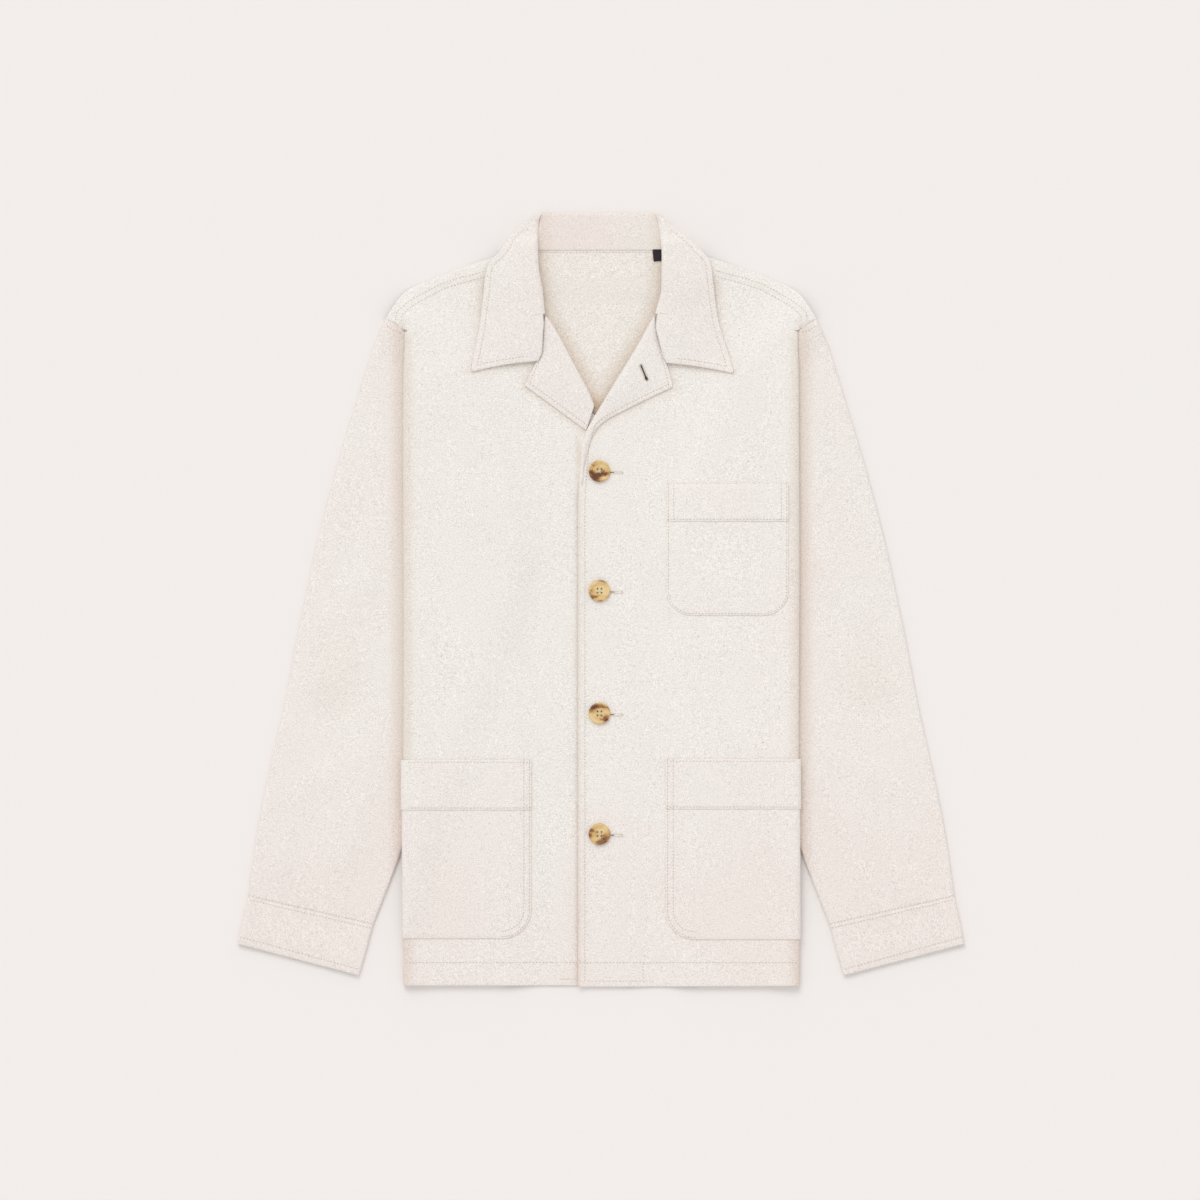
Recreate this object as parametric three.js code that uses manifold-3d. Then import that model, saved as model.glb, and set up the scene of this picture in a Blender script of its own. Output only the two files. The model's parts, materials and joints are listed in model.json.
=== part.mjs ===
// Unlined chore jacket laid flat on a table, front side up, in heavy ecru cotton.
// Millimetres. X runs to the viewer's right, Y towards the collar, Z up from the table.
// The origin is on the table under the middle of the garment.
import * as THREE from 'three';
import { mergeVertices } from 'three/addons/utils/BufferGeometryUtils.js';
import Module from 'manifold-3d';

const wasm = await Module();
wasm.setup();

// Cloth
const WALL = 1.2;
const DOUBLE_WALL = 2.4;
const SEAM_GAP = 0.3;
const LAYER = WALL + SEAM_GAP;
const HALF_WALL = WALL / 2;

// Body, as it lies
const HEM_Y = -377;
const NECK_SEAM_Y = 342;
const FOLD_X = 192.3;
const FRONT_EDGE_X = -22;
const UNDER_FRONT_EDGE_X = 22;
const SIDE_SEAM_X = 95;

// Side fold: the front's and the back's turns share one centre line
const FRONT_TURN_RADIUS = 2.55;
const BACK_TURN_RADIUS = 1.05;
const TURN_X = FOLD_X - FRONT_TURN_RADIUS - HALF_WALL;
const TURN_LENGTH = 8;
const TURN_STEPS = 4;
const TURNED_STACK = FRONT_TURN_RADIUS + BACK_TURN_RADIUS;

// Sleeve tube, pressed flat
const SLEEVE_HEIGHT = 4.8;
const CUFF_HEIGHT = 5.2;
const SLEEVE_END_STEPS = 4;
const SLEEVE_ACROSS_STEPS = 6;

// Slopes of the cloth off what lies under it
const SLEEVE_SLOPE = 44;
const TURN_SLOPE = 34;
const COLLAR_SLOPE = 34;
const LAP_SLOPE = 30;

// Collar
const COLLAR_TOP_Y = 377.5;
const COLLAR_ROLL_RADIUS = 3;
const COLLAR_BACK_RADIUS = (DOUBLE_WALL + SEAM_GAP) / 2;
const STAND_LENGTH = 20;
const COLLAR_REST = 0.5;

// Lapels
const LAPEL_ROLL_RADIUS = 2.6;
const LAPEL_LEG = 9;

// Buttons
const BUTTON_RADIUS = 10.5;
const BUTTON_X = -1.7;
const BUTTON_ROWS = [125.1, 8.3, -111.5, -229.4];
const BUTTON_HOLE_RADIUS = 0.9;
const BUTTON_HOLE_SPACING = 1.9;

// Half armhole seam, from the shoulder tip down to the underarm
const ARMHOLE = [
  { x: 211, y: 273 },
  { x: 205, y: 268 },
  { x: 192.3, y: 263.5 },
  { x: 172, y: 247 },
  { x: 150, y: 218 },
  { x: 130, y: 180 },
  { x: 113, y: 135 },
  { x: 101, y: 90 },
  { x: SIDE_SEAM_X, y: 53 },
];

// Sleeve sections from the armhole to the cuff seam: outer edge, then inseam edge
const SLEEVE_SECTIONS = [
  { outerX: 211, outerY: 273, innerX: 95, innerY: 53, bow: 1 },
  { outerX: 222, outerY: 248, innerX: 101, innerY: 35, bow: 0.75 },
  { outerX: 234, outerY: 209, innerX: 108, innerY: 14, bow: 0.5 },
  { outerX: 246, outerY: 170, innerX: 119, innerY: -19, bow: 0.25 },
  { outerX: 257.5, outerY: 131, innerX: 130, innerY: -52, bow: 0.1 },
  { outerX: 268, outerY: 92, innerX: 141, innerY: -85, bow: 0 },
  { outerX: 278, outerY: 53, innerX: 151.5, innerY: -116, bow: 0 },
  { outerX: 294.5, outerY: -25, innerX: 169, innerY: -168, bow: 0 },
  { outerX: 309.5, outerY: -103, innerX: 185, innerY: -216, bow: 0 },
  { outerX: 327, outerY: -181, innerX: 200, innerY: -260, bow: 0 },
  { outerX: 337, outerY: -232, innerX: 210.5, innerY: -287, bow: 0 },
  { outerX: 345.3, outerY: -291, innerX: 222.8, innerY: -318, bow: 0 },
];
const CUFF_SECTIONS = [
  { outerX: 345.4, outerY: -291.5, innerX: 223, innerY: -318.5, bow: 0 },
  { outerX: 350.5, outerY: -314, innerX: 229.5, innerY: -343, bow: 0 },
  { outerX: 355, outerY: -336, innerX: 236.5, innerY: -367, bow: 0 },
];

// Half shoulder: the folded outline, and the forward seam that the strip ends on
const SHOULDER = [
  { edgeX: 67, edgeY: 343, seamX: 73, seamY: 322 },
  { edgeX: 105.5, edgeY: 334, seamX: 111, seamY: 314 },
  { edgeX: 136.5, edgeY: 324, seamX: 138, seamY: 307 },
  { edgeX: 156.5, edgeY: 317, seamX: 155, seamY: 301.3 },
  { edgeX: 173.5, edgeY: 309.5, seamX: 170, seamY: 293.3 },
  { edgeX: 186, edgeY: 304.5, seamX: 184, seamY: 285.3 },
  { edgeX: 196, edgeY: 297, seamX: 193.3, seamY: 277.3 },
  { edgeX: 203.5, edgeY: 286, seamX: 194.3, seamY: 270.3 },
  { edgeX: 210.5, edgeY: 274, seamX: 198, seamY: 266.5 },
];

// Collar sides from the back corner to the point: roll line (then gorge), and outer edge
const COLLAR_RIGHT_SIDE = [
  { rollX: -60.5, rollY: 372, edgeX: -68, edgeY: 372 },
  { rollX: -61.5, rollY: 364, edgeX: -79, edgeY: 364 },
  { rollX: -61.7, rollY: 356, edgeX: -88, edgeY: 356 },
  { rollX: -61.7, rollY: 348, edgeX: -92.5, edgeY: 347.5 },
  { rollX: -61.7, rollY: 340, edgeX: -98, edgeY: 339 },
  { rollX: -61.2, rollY: 330, edgeX: -107.5, edgeY: 330.5 },
  { rollX: -60.8, rollY: 321.7, edgeX: -112, edgeY: 320 },
  { rollX: -56.9, rollY: 302, edgeX: -114.5, edgeY: 292.5 },
  { rollX: -55, rollY: 280, edgeX: -118.4, edgeY: 263 },
];
const COLLAR_LEFT_SIDE = [
  { rollX: 55, rollY: 372, edgeX: 61.5, edgeY: 372 },
  { rollX: 56, rollY: 364, edgeX: 71, edgeY: 364 },
  { rollX: 57.3, rollY: 356, edgeX: 81, edgeY: 356 },
  { rollX: 58.4, rollY: 348, edgeX: 90, edgeY: 348 },
  { rollX: 59, rollY: 340, edgeX: 98, edgeY: 339.5 },
  { rollX: 59, rollY: 330, edgeX: 106, edgeY: 330 },
  { rollX: 58.9, rollY: 320, edgeX: 107.5, edgeY: 318 },
  { rollX: 58.4, rollY: 300, edgeX: 110, edgeY: 294 },
  { rollX: 52.8, rollY: 280, edgeX: 113.5, edgeY: 271 },
];

// Lower falls from the gorge seam to the point, where the collar lies free of the roll
const FALL_RIGHT_END = [
  { innerX: -55, innerY: 280, outerX: -118.4, outerY: 263, bow: 0 },
  { innerX: -58, innerY: 263, outerX: -121, outerY: 250, bow: 0 },
  { innerX: -59.2, innerY: 240, outerX: -124, outerY: 236, bow: 0.6 },
  { innerX: -62.5, innerY: 233.8, outerX: -126.2, outerY: 223.5, bow: 1.6 },
];
const FALL_LEFT_END = [
  { innerX: 52.8, innerY: 280, outerX: 113.5, outerY: 271, bow: 0 },
  { innerX: 54.8, innerY: 263, outerX: 118.5, outerY: 254, bow: 0 },
  { innerX: 61.6, innerY: 238, outerX: 125, outerY: 234.5, bow: 0.4 },
  { innerX: 64.3, innerY: 232, outerX: 128.5, outerY: 222, bow: 1.2 },
];

// Lapels from the gorge to the front edge: roll line, and the lapel's outer edge
const LAPEL_LEFT = [
  { rollX: 51.2, rollY: 276.5, edgeX: 53.6, edgeY: 266 },
  { rollX: 48.2, rollY: 271, edgeX: 56, edgeY: 256 },
  { rollX: 42, rollY: 260, edgeX: 60.4, edgeY: 238 },
  { rollX: 35, rollY: 247.5, edgeX: 65.8, edgeY: 224 },
  { rollX: 26.5, rollY: 233.5, edgeX: 70, edgeY: 207.5 },
  { rollX: 15, rollY: 215, edgeX: 52, edgeY: 199.5 },
  { rollX: 5, rollY: 198.5, edgeX: 30, edgeY: 188.5 },
  { rollX: -5, rollY: 182, edgeX: 11, edgeY: 179.5 },
  { rollX: -12, rollY: 169.5, edgeX: -1, edgeY: 172 },
  { rollX: -17.5, rollY: 158, edgeX: -8.5, edgeY: 163 },
];
const LAPEL_RIGHT = [
  { rollX: -53.6, rollY: 276.5, edgeX: -57.4, edgeY: 263.5 },
  { rollX: -49.5, rollY: 271, edgeX: -58, edgeY: 252 },
  { rollX: -43.5, rollY: 262, edgeX: -58.8, edgeY: 239 },
  { rollX: -36, rollY: 248.5, edgeX: -68, edgeY: 222.5 },
  { rollX: -28.5, rollY: 234, edgeX: -74.5, edgeY: 208.5 },
  { rollX: -20.5, rollY: 219, edgeX: -51, edgeY: 191.5 },
  { rollX: -13, rollY: 205, edgeX: -32, edgeY: 177.5 },
  { rollX: -7.5, rollY: 191, edgeX: -15.5, edgeY: 165.5 },
];

// Patch pockets, with the band along each mouth
const POCKETS = [
  { name: 'chest_pocket', left: 64.3, right: 182.5, top: 112.6, bottom: -15.3, corner: 24, bandHeight: 36 },
  { name: 'pocket_right', left: -192, right: -68.6, top: -157.5, bottom: -331, corner: 25, bandHeight: 48 },
  { name: 'pocket_left', left: 63.3, right: 192, top: -156.5, bottom: -332, corner: 25, bandHeight: 48 },
];

const LABEL = { left: 50.6, right: 64, top: 341.6, bottom: 330.5, thickness: 1 };

// Columns and rows that every layer of the body shares, so that the layers fold alike
const HALF_COLUMNS = [22, 43, 62, 80, 98, 116, 134, 152, 171, TURN_X];
const COLUMNS = [...HALF_COLUMNS.map((x) => -x).reverse(), 0, ...HALF_COLUMNS];
const ROWS = [
  HEM_Y, -331, -290, -252, -222, -192, -162, -130, -98, -66, -34, -2, 28, 53,
  80, 106, 132, 157, 181, 204, 226, 245, 262, 280, 297, 313, 328, 345,
];

const FINISHES = {
  cloth: { color: 0xf0e9e1, roughness: 0.92, metalness: 0 },
  horn: { color: 0xc9a566, roughness: 0.35, metalness: 0 },
  label: { color: 0x2b1c22, roughness: 0.8, metalness: 0 },
};

const jacket = new THREE.Group();

function addMesh(name, geometry, finish) {
  geometry.computeVertexNormals();
  const mesh = new THREE.Mesh(geometry, new THREE.MeshStandardMaterial({ ...FINISHES[finish] }));
  mesh.name = name;
  jacket.add(mesh);
}

function clamp01(value) {
  return Math.min(1, Math.max(0, value));
}

// Falls smoothly from 1 at distance 0 to 0 at the slope's width
function slope(distance, width) {
  return 0.5 + 0.5 * Math.cos(Math.PI * clamp01(distance / width));
}

function distanceToSegment(x, y, a, b) {
  const dx = b.x - a.x;
  const dy = b.y - a.y;
  const along = clamp01(((x - a.x) * dx + (y - a.y) * dy) / (dx * dx + dy * dy));
  return Math.hypot(x - a.x - along * dx, y - a.y - along * dy);
}

// Distance from a point to a region of the table: 0 inside it
function distanceOutside(region, x, y) {
  let nearest = Infinity;
  let inside = false;
  region.forEach((a, index) => {
    const b = region[(index + 1) % region.length];
    nearest = Math.min(nearest, distanceToSegment(x, y, a, b));
    if (a.y > y !== b.y > y && x < a.x + ((y - a.y) / (b.y - a.y)) * (b.x - a.x)) inside = !inside;
  });
  return inside ? 0 : nearest;
}

const sleeveEnd = CUFF_SECTIONS[CUFF_SECTIONS.length - 1];
const SLEEVE_REGION = [
  ...ARMHOLE,
  { x: sleeveEnd.innerX, y: sleeveEnd.innerY },
  { x: sleeveEnd.outerX, y: sleeveEnd.outerY },
];
const TURNED_REGION = [
  ...ARMHOLE.slice(2),
  { x: SIDE_SEAM_X, y: 2 * HEM_Y },
  { x: 2 * FOLD_X, y: 2 * HEM_Y },
  { x: 2 * FOLD_X, y: 263.5 },
];
const COLLAR_BEHIND_REGION = [
  { x: -1, y: 316 },
  { x: 102, y: 316 },
  { x: 108, y: 334 },
  { x: 108, y: 2 * COLLAR_TOP_Y },
  { x: -1, y: 2 * COLLAR_TOP_Y },
];

// How far each thing under the body lifts the cloth
function sleeveLift(x, y) {
  const clearance = 9;
  const distance = distanceOutside(SLEEVE_REGION, Math.abs(x), y) - clearance;
  return (SLEEVE_HEIGHT + SEAM_GAP) * slope(distance, SLEEVE_SLOPE);
}

function turnedLift(x, y) {
  const clearance = 3;
  const capFade = slope(Math.abs(x) - TURN_X, 14);
  const distance = distanceOutside(TURNED_REGION, Math.abs(x), y) - clearance;
  return TURNED_STACK * slope(distance, TURN_SLOPE) * capFade;
}

function collarLift(x, y) {
  const distance = distanceOutside(COLLAR_BEHIND_REGION, Math.abs(x), y);
  return (DOUBLE_WALL + SEAM_GAP) * slope(distance, COLLAR_SLOPE);
}

function overlapLift(x) {
  return LAYER * slope(x - UNDER_FRONT_EDGE_X, LAP_SLOPE);
}

// Samples a height on the shared columns and rows, so that all layers have the same facets
function onLattice(height) {
  const samples = COLUMNS.map((x) => ROWS.map((y) => height(x, y)));
  return (x, y) => {
    if (Math.abs(x) > TURN_X || y > ROWS[ROWS.length - 1]) return height(x, y);
    let i = 0;
    while (i < COLUMNS.length - 2 && x > COLUMNS[i + 1]) i += 1;
    let j = 0;
    while (j < ROWS.length - 2 && y > ROWS[j + 1]) j += 1;
    const u = (x - COLUMNS[i]) / (COLUMNS[i + 1] - COLUMNS[i]);
    const v = (y - ROWS[j]) / (ROWS[j + 1] - ROWS[j]);
    const low = samples[i][j];
    const high = samples[i + 1][j + 1];
    if (v <= u) return low + u * (samples[i + 1][j] - low) + v * (high - samples[i + 1][j]);
    return low + v * (samples[i][j + 1] - low) + u * (high - samples[i][j + 1]);
  };
}

const stripFloor = onLattice(sleeveLift);
const backFloor = onLattice((x, y) => sleeveLift(x, y) + turnedLift(x, y) + collarLift(x, y));
const rightFrontFloor = (x, y) => backFloor(x, y) + LAYER;
const lapFloor = onLattice((x) => overlapLift(x));
const leftFrontFloor = (x, y) => backFloor(x, y) + LAYER + lapFloor(x, y);
const frontTop = (x, y) => (x < FRONT_EDGE_X ? rightFrontFloor(x, y) : leftFrontFloor(x, y)) + WALL;

// A layer of the body: flat up to the side fold, round the turn, then back underneath.
// s is the distance across the flat cloth, y the height on it, out the offset from mid-wall.
function bodyLayer(floor, stripsBelow) {
  return (s, y, out) => {
    const side = Math.sign(s) || 1;
    const across = Math.abs(s);
    if (across <= TURN_X) return [s, y, floor(s, y) + HALF_WALL + out];
    const upper = floor(side * TURN_X, y) + HALF_WALL;
    const lower = stripFloor(side * TURN_X, y) + HALF_WALL + stripsBelow * LAYER;
    if (across <= TURN_X + TURN_LENGTH) {
      const angle = (Math.PI * (across - TURN_X)) / TURN_LENGTH;
      const radius = (upper - lower) / 2 + out;
      const x = TURN_X + radius * Math.sin(angle);
      return [side * x, y, (upper + lower) / 2 + radius * Math.cos(angle)];
    }
    const x = side * (2 * TURN_X + TURN_LENGTH - across);
    return [x, y, stripFloor(x, y) + HALF_WALL + stripsBelow * LAYER - out];
  };
}

// Flat-cloth distance of a point on the strip that is turned under
function turnedUnder(x) {
  return 2 * TURN_X + TURN_LENGTH - x;
}

const sideLines = [
  ...Array.from({ length: TURN_STEPS }, (_, k) => TURN_X + ((k + 1) * TURN_LENGTH) / TURN_STEPS),
  ...HALF_COLUMNS.slice(4, -1).reverse().map(turnedUnder),
];
const CLOTH_COLUMNS = [...sideLines.map((s) => -s).reverse(), ...COLUMNS, ...sideLines];

// Keeps the part of a polygon where a linear measure of its points is not negative
function clip(polygon, measure) {
  const kept = [];
  polygon.forEach((point, index) => {
    const next = polygon[(index + 1) % polygon.length];
    const here = measure(point);
    const there = measure(next);
    if (here >= 0) kept.push(point);
    if (here >= 0 !== there >= 0) {
      const along = here / (here - there);
      kept.push([point[0] + along * (next[0] - point[0]), point[1] + along * (next[1] - point[1])]);
    }
  });
  return kept;
}

// The grid lines that take in a stretch, whole cells at both ends
function linesOver(lines, low, high) {
  if (lines.length < 2) return [low, high];
  const first = Math.max(0, lines.findLastIndex((value) => value <= low + 1e-6));
  const last = lines.findIndex((value) => value >= high - 1e-6);
  return lines.slice(first, last < 0 ? lines.length : last + 1);
}

// The two halves of a grid cell, cut from its lower left to its upper right corner
function cellHalves(polygon, x0, x1, y0, y1) {
  const cell = clip(clip(polygon, ([, y]) => y - y0), ([, y]) => y1 - y);
  const across = ([x, y]) => (x - x0) * (y1 - y0) - (y - y0) * (x1 - x0);
  return [clip(cell, across), clip(cell, (point) => -across(point))];
}

// A closed wall of cloth: an outline in flat-cloth coordinates, cut along the grid lines,
// then placed by a function of the two coordinates and the offset from mid-wall.
function clothWall(outline, columnLines, rowLines, place, innerOffset, outerOffset) {
  const xs = outline.map((point) => point[0]);
  const ys = outline.map((point) => point[1]);
  const columns = linesOver(columnLines, Math.min(...xs), Math.max(...xs));
  const rows = linesOver(rowLines, Math.min(...ys), Math.max(...ys));
  const flat = THREE.ShapeUtils.isClockWise(outline.map(([x, y]) => new THREE.Vector2(x, y)))
    ? [...outline].reverse()
    : outline;
  const keys = new Map();
  const points = [];
  const triangles = [];
  const indexOf = ([x, y]) => {
    const key = `${Math.round(x * 1e4)},${Math.round(y * 1e4)}`;
    if (!keys.has(key)) {
      keys.set(key, points.length);
      points.push([x, y]);
    }
    return keys.get(key);
  };
  const addPiece = (piece) => {
    const corners = piece.map(indexOf).filter((value, k, all) => value !== all[(k + 1) % all.length]);
    if (corners.length < 3) return;
    const contour = corners.map((corner) => new THREE.Vector2(...points[corner]));
    if (Math.abs(THREE.ShapeUtils.area(contour)) < 1e-4) return;
    THREE.ShapeUtils.triangulateShape(contour, []).forEach((triangle) => {
      const [a, b, c] = triangle.map((k) => corners[k]);
      const turn = THREE.ShapeUtils.area([a, b, c].map((k) => new THREE.Vector2(...points[k])));
      if (Math.abs(turn) > 1e-7) triangles.push(turn > 0 ? [a, b, c] : [a, c, b]);
    });
  };
  for (let i = 0; i < columns.length - 1; i += 1) {
    const strip = clip(clip(flat, ([x]) => x - columns[i]), ([x]) => columns[i + 1] - x);
    for (let j = 0; j < rows.length - 1; j += 1) {
      cellHalves(strip, columns[i], columns[i + 1], rows[j], rows[j + 1]).forEach(addPiece);
    }
  }
  const edges = new Set(triangles.flatMap(([a, b, c]) => [`${a},${b}`, `${b},${c}`, `${c},${a}`]));
  const outer = points.map(([x, y]) => place(x, y, outerOffset));
  const inner = points.map(([x, y]) => place(x, y, innerOffset));
  const shift = points.length;
  const faces = triangles.flatMap(([a, b, c]) => [[a, b, c], [a + shift, c + shift, b + shift]]);
  edges.forEach((edge) => {
    const [a, b] = edge.split(',').map(Number);
    if (edges.has(`${b},${a}`)) return;
    faces.push([a, a + shift, b + shift], [a, b + shift, b]);
  });
  return solidFromFaces([...outer, ...inner], faces);
}

function solidFromFaces(points, faces) {
  const geometry = new THREE.BufferGeometry();
  geometry.setAttribute('position', new THREE.Float32BufferAttribute(points.flat(), 3));
  geometry.setIndex(faces.flat());
  return geometry;
}

// A wall over a plain grid of stations and steps
function gridWall(stations, steps, place, innerOffset, outerOffset) {
  const rows = Array.from({ length: steps + 1 }, (_, k) => k);
  const columns = Array.from({ length: stations + 1 }, (_, k) => k);
  const outline = [[0, 0], [stations, 0], [stations, steps], [0, steps]];
  return clothWall(outline, columns, rows, place, innerOffset, outerOffset);
}

function toManifold(geometry) {
  const bare = geometry.clone();
  bare.deleteAttribute('normal');
  bare.deleteAttribute('uv');
  const merged = mergeVertices(bare, 1e-4);
  const mesh = new wasm.Mesh({
    numProp: 3,
    vertProperties: new Float32Array(merged.attributes.position.array),
    triVerts: new Uint32Array(merged.index.array),
  });
  return new wasm.Manifold(mesh);
}

function fromManifold(manifold) {
  const mesh = manifold.getMesh();
  const geometry = new THREE.BufferGeometry();
  geometry.setAttribute('position', new THREE.BufferAttribute(new Float32Array(mesh.vertProperties), 3));
  geometry.setIndex(new THREE.BufferAttribute(new Uint32Array(mesh.triVerts), 1));
  return geometry;
}

function joined(geometries) {
  return fromManifold(geometries.map(toManifold).reduce((whole, next) => whole.add(next)));
}

// Back: one panel with both sides turned under, joined over the shoulders to the forward strips
function backPanel() {
  const half = (side) => [
    [side * turnedUnder(SIDE_SEAM_X), HEM_Y],
    ...ARMHOLE.slice(3).reverse().map(({ x, y }) => [side * turnedUnder(x), y - 1]),
    [side * (TURN_X + TURN_LENGTH), 261],
    [side * (TURN_X + 0.01), 262],
    [side * (TURN_X - 1), 262],
    [side * (TURN_X - 1), 292],
    ...SHOULDER.slice(0, 5).reverse().map(({ edgeX, edgeY }) => [side * (edgeX - 1), edgeY - 3]),
    [side * 61, NECK_SEAM_Y],
  ];
  const outline = [...half(1), ...half(-1).reverse()];
  const place = bodyLayer(backFloor, 1);
  const panel = clothWall(outline, CLOTH_COLUMNS, ROWS, place, -HALF_WALL, HALF_WALL);
  return joined([panel, shoulderStrip(1), shoulderStrip(-1)]);
}

// Forward shoulder strip: a turn along the shoulder's outline, with its lower leg in the back
function shoulderStrip(side) {
  const radius = LAYER / 2;
  const lowerLeg = 9;
  const topSteps = 2;
  const turnSteps = 3;
  const place = (station, step, out) => {
    const { edgeX, edgeY, seamX, seamY } = SHOULDER[station];
    const width = Math.hypot(seamX - edgeX, seamY - edgeY);
    const inward = [(seamX - edgeX) / width, (seamY - edgeY) / width];
    const start = radius + HALF_WALL;
    const at = (distance, height) => {
      const x = side * (edgeX + inward[0] * distance);
      const y = edgeY + inward[1] * distance;
      return [x, y, backFloor(x, y) + HALF_WALL + height];
    };
    if (step <= topSteps) return at(width + ((start - width) * step) / topSteps, LAYER + out);
    if (step <= topSteps + turnSteps) {
      const angle = (Math.PI * (step - topSteps)) / turnSteps;
      const rim = at(start - (radius + out) * Math.sin(angle), 0);
      const centre = at(start, radius);
      return [rim[0], rim[1], centre[2] + (radius + out) * Math.cos(angle)];
    }
    return at(start + lowerLeg, -out);
  };
  const wall = gridWall(SHOULDER.length - 1, topSteps + turnSteps + 1, place, -HALF_WALL, HALF_WALL);
  return side > 0 ? wall : flipped(wall);
}

function flipped(geometry) {
  const index = geometry.index.array;
  for (let k = 0; k < index.length; k += 3) [index[k + 1], index[k + 2]] = [index[k + 2], index[k + 1]];
  return geometry;
}

// Point at a distance from a roll line, towards the matching outer edge
function fromRoll({ rollX, rollY, edgeX, edgeY }, distance) {
  const width = Math.hypot(edgeX - rollX, edgeY - rollY);
  return [rollX + ((edgeX - rollX) * distance) / width, rollY + ((edgeY - rollY) * distance) / width];
}

// Fronts: from the front edge to the side fold, then turned under to the side seam
function frontSide(side) {
  return [
    [side * turnedUnder(SIDE_SEAM_X), HEM_Y],
    ...ARMHOLE.slice(3).reverse().map(({ x, y }) => [side * turnedUnder(x), y - 1]),
    [side * (TURN_X + TURN_LENGTH), 261],
    [side * (TURN_X + 0.01), 262],
    [side * TURN_X, 280.5],
    ...SHOULDER.slice(0, 5).reverse().map(({ seamX, seamY }) => [side * (seamX - 0.2), seamY - 0.5]),
    [side * 68, 306],
    [side * 66, 290],
  ];
}

function frontPanel(side, floor, neck) {
  const outline = [...frontSide(side), ...neck];
  return clothWall(outline, CLOTH_COLUMNS, ROWS, bodyLayer(floor, 0), -HALF_WALL, HALF_WALL);
}

function rightFront() {
  const neck = LAPEL_RIGHT.map((row) => fromRoll(row, Math.min(LAPEL_LEG, lapelWidth(row)) + SEAM_GAP));
  const hidden = [[4, 172], [UNDER_FRONT_EDGE_X, 138], [UNDER_FRONT_EDGE_X, HEM_Y]];
  return frontPanel(-1, rightFrontFloor, [...neck, ...hidden]);
}

function leftFront() {
  const neck = LAPEL_LEFT.map((row) => fromRoll(row, Math.min(LAPEL_LEG, lapelWidth(row)) + SEAM_GAP));
  const edge = [[-19.3, 140], [-20.3, 120], [FRONT_EDGE_X, 97], [FRONT_EDGE_X, HEM_Y]];
  return frontPanel(1, leftFrontFloor, [...neck, ...edge]);
}

function lapelWidth({ rollX, rollY, edgeX, edgeY }) {
  return Math.hypot(edgeX - rollX, edgeY - rollY) - 2;
}

// Turned lapel: facing and front as one double wall, rolled over a short leg in the front's plane
function lapel(rows, floor, side) {
  const topSteps = 5;
  const turnSteps = 4;
  const halfWall = DOUBLE_WALL / 2;
  const place = (station, step, out) => {
    const row = rows[station];
    const width = lapelWidth(row) + 2;
    const leg = Math.min(LAPEL_LEG, lapelWidth(row));
    const share = clamp01((width - 12) / 22);
    const radius = halfWall + 0.2 + (LAPEL_ROLL_RADIUS - halfWall - 0.2) * share;
    const start = Math.min(radius + halfWall, width - 1);
    const legMid = (x, y) => floor(x, y) + halfWall;
    if (step <= topSteps) {
      const fraction = step / topSteps;
      const [x, y] = fromRoll(row, width + (start - width) * fraction);
      const edgeMid = floor(x, y) + WALL + SEAM_GAP + halfWall;
      const rollMid = legMid(x, y) + 2 * radius;
      const rise = Math.sin((Math.PI / 2) * fraction) ** 1.6;
      return [x, y, edgeMid + Math.max(0, rollMid - edgeMid) * rise + out];
    }
    if (step <= topSteps + turnSteps) {
      const angle = (Math.PI * (step - topSteps)) / turnSteps;
      const [x, y] = fromRoll(row, start - (radius + out) * Math.sin(angle));
      const centre = fromRoll(row, start);
      return [x, y, legMid(...centre) + radius + (radius + out) * Math.cos(angle)];
    }
    const [x, y] = fromRoll(row, Math.max(leg, start + 0.5));
    return [x, y, legMid(x, y) - out];
  };
  const wall = gridWall(rows.length - 1, topSteps + turnSteps + 1, place, -halfWall, halfWall);
  return side > 0 ? wall : flipped(wall);
}

// Height of the collar over whatever it lies on
function collarFloor(x, y) {
  const overShoulder = DOUBLE_WALL + SEAM_GAP + 2 * LAYER + COLLAR_REST;
  if (y > 336) return overShoulder;
  const blend = clamp01((336 - y) / 14);
  const lying = frontTop(x, y) + COLLAR_REST;
  return overShoulder * (1 - blend) + Math.max(lying, overShoulder - 3) * blend;
}

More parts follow.
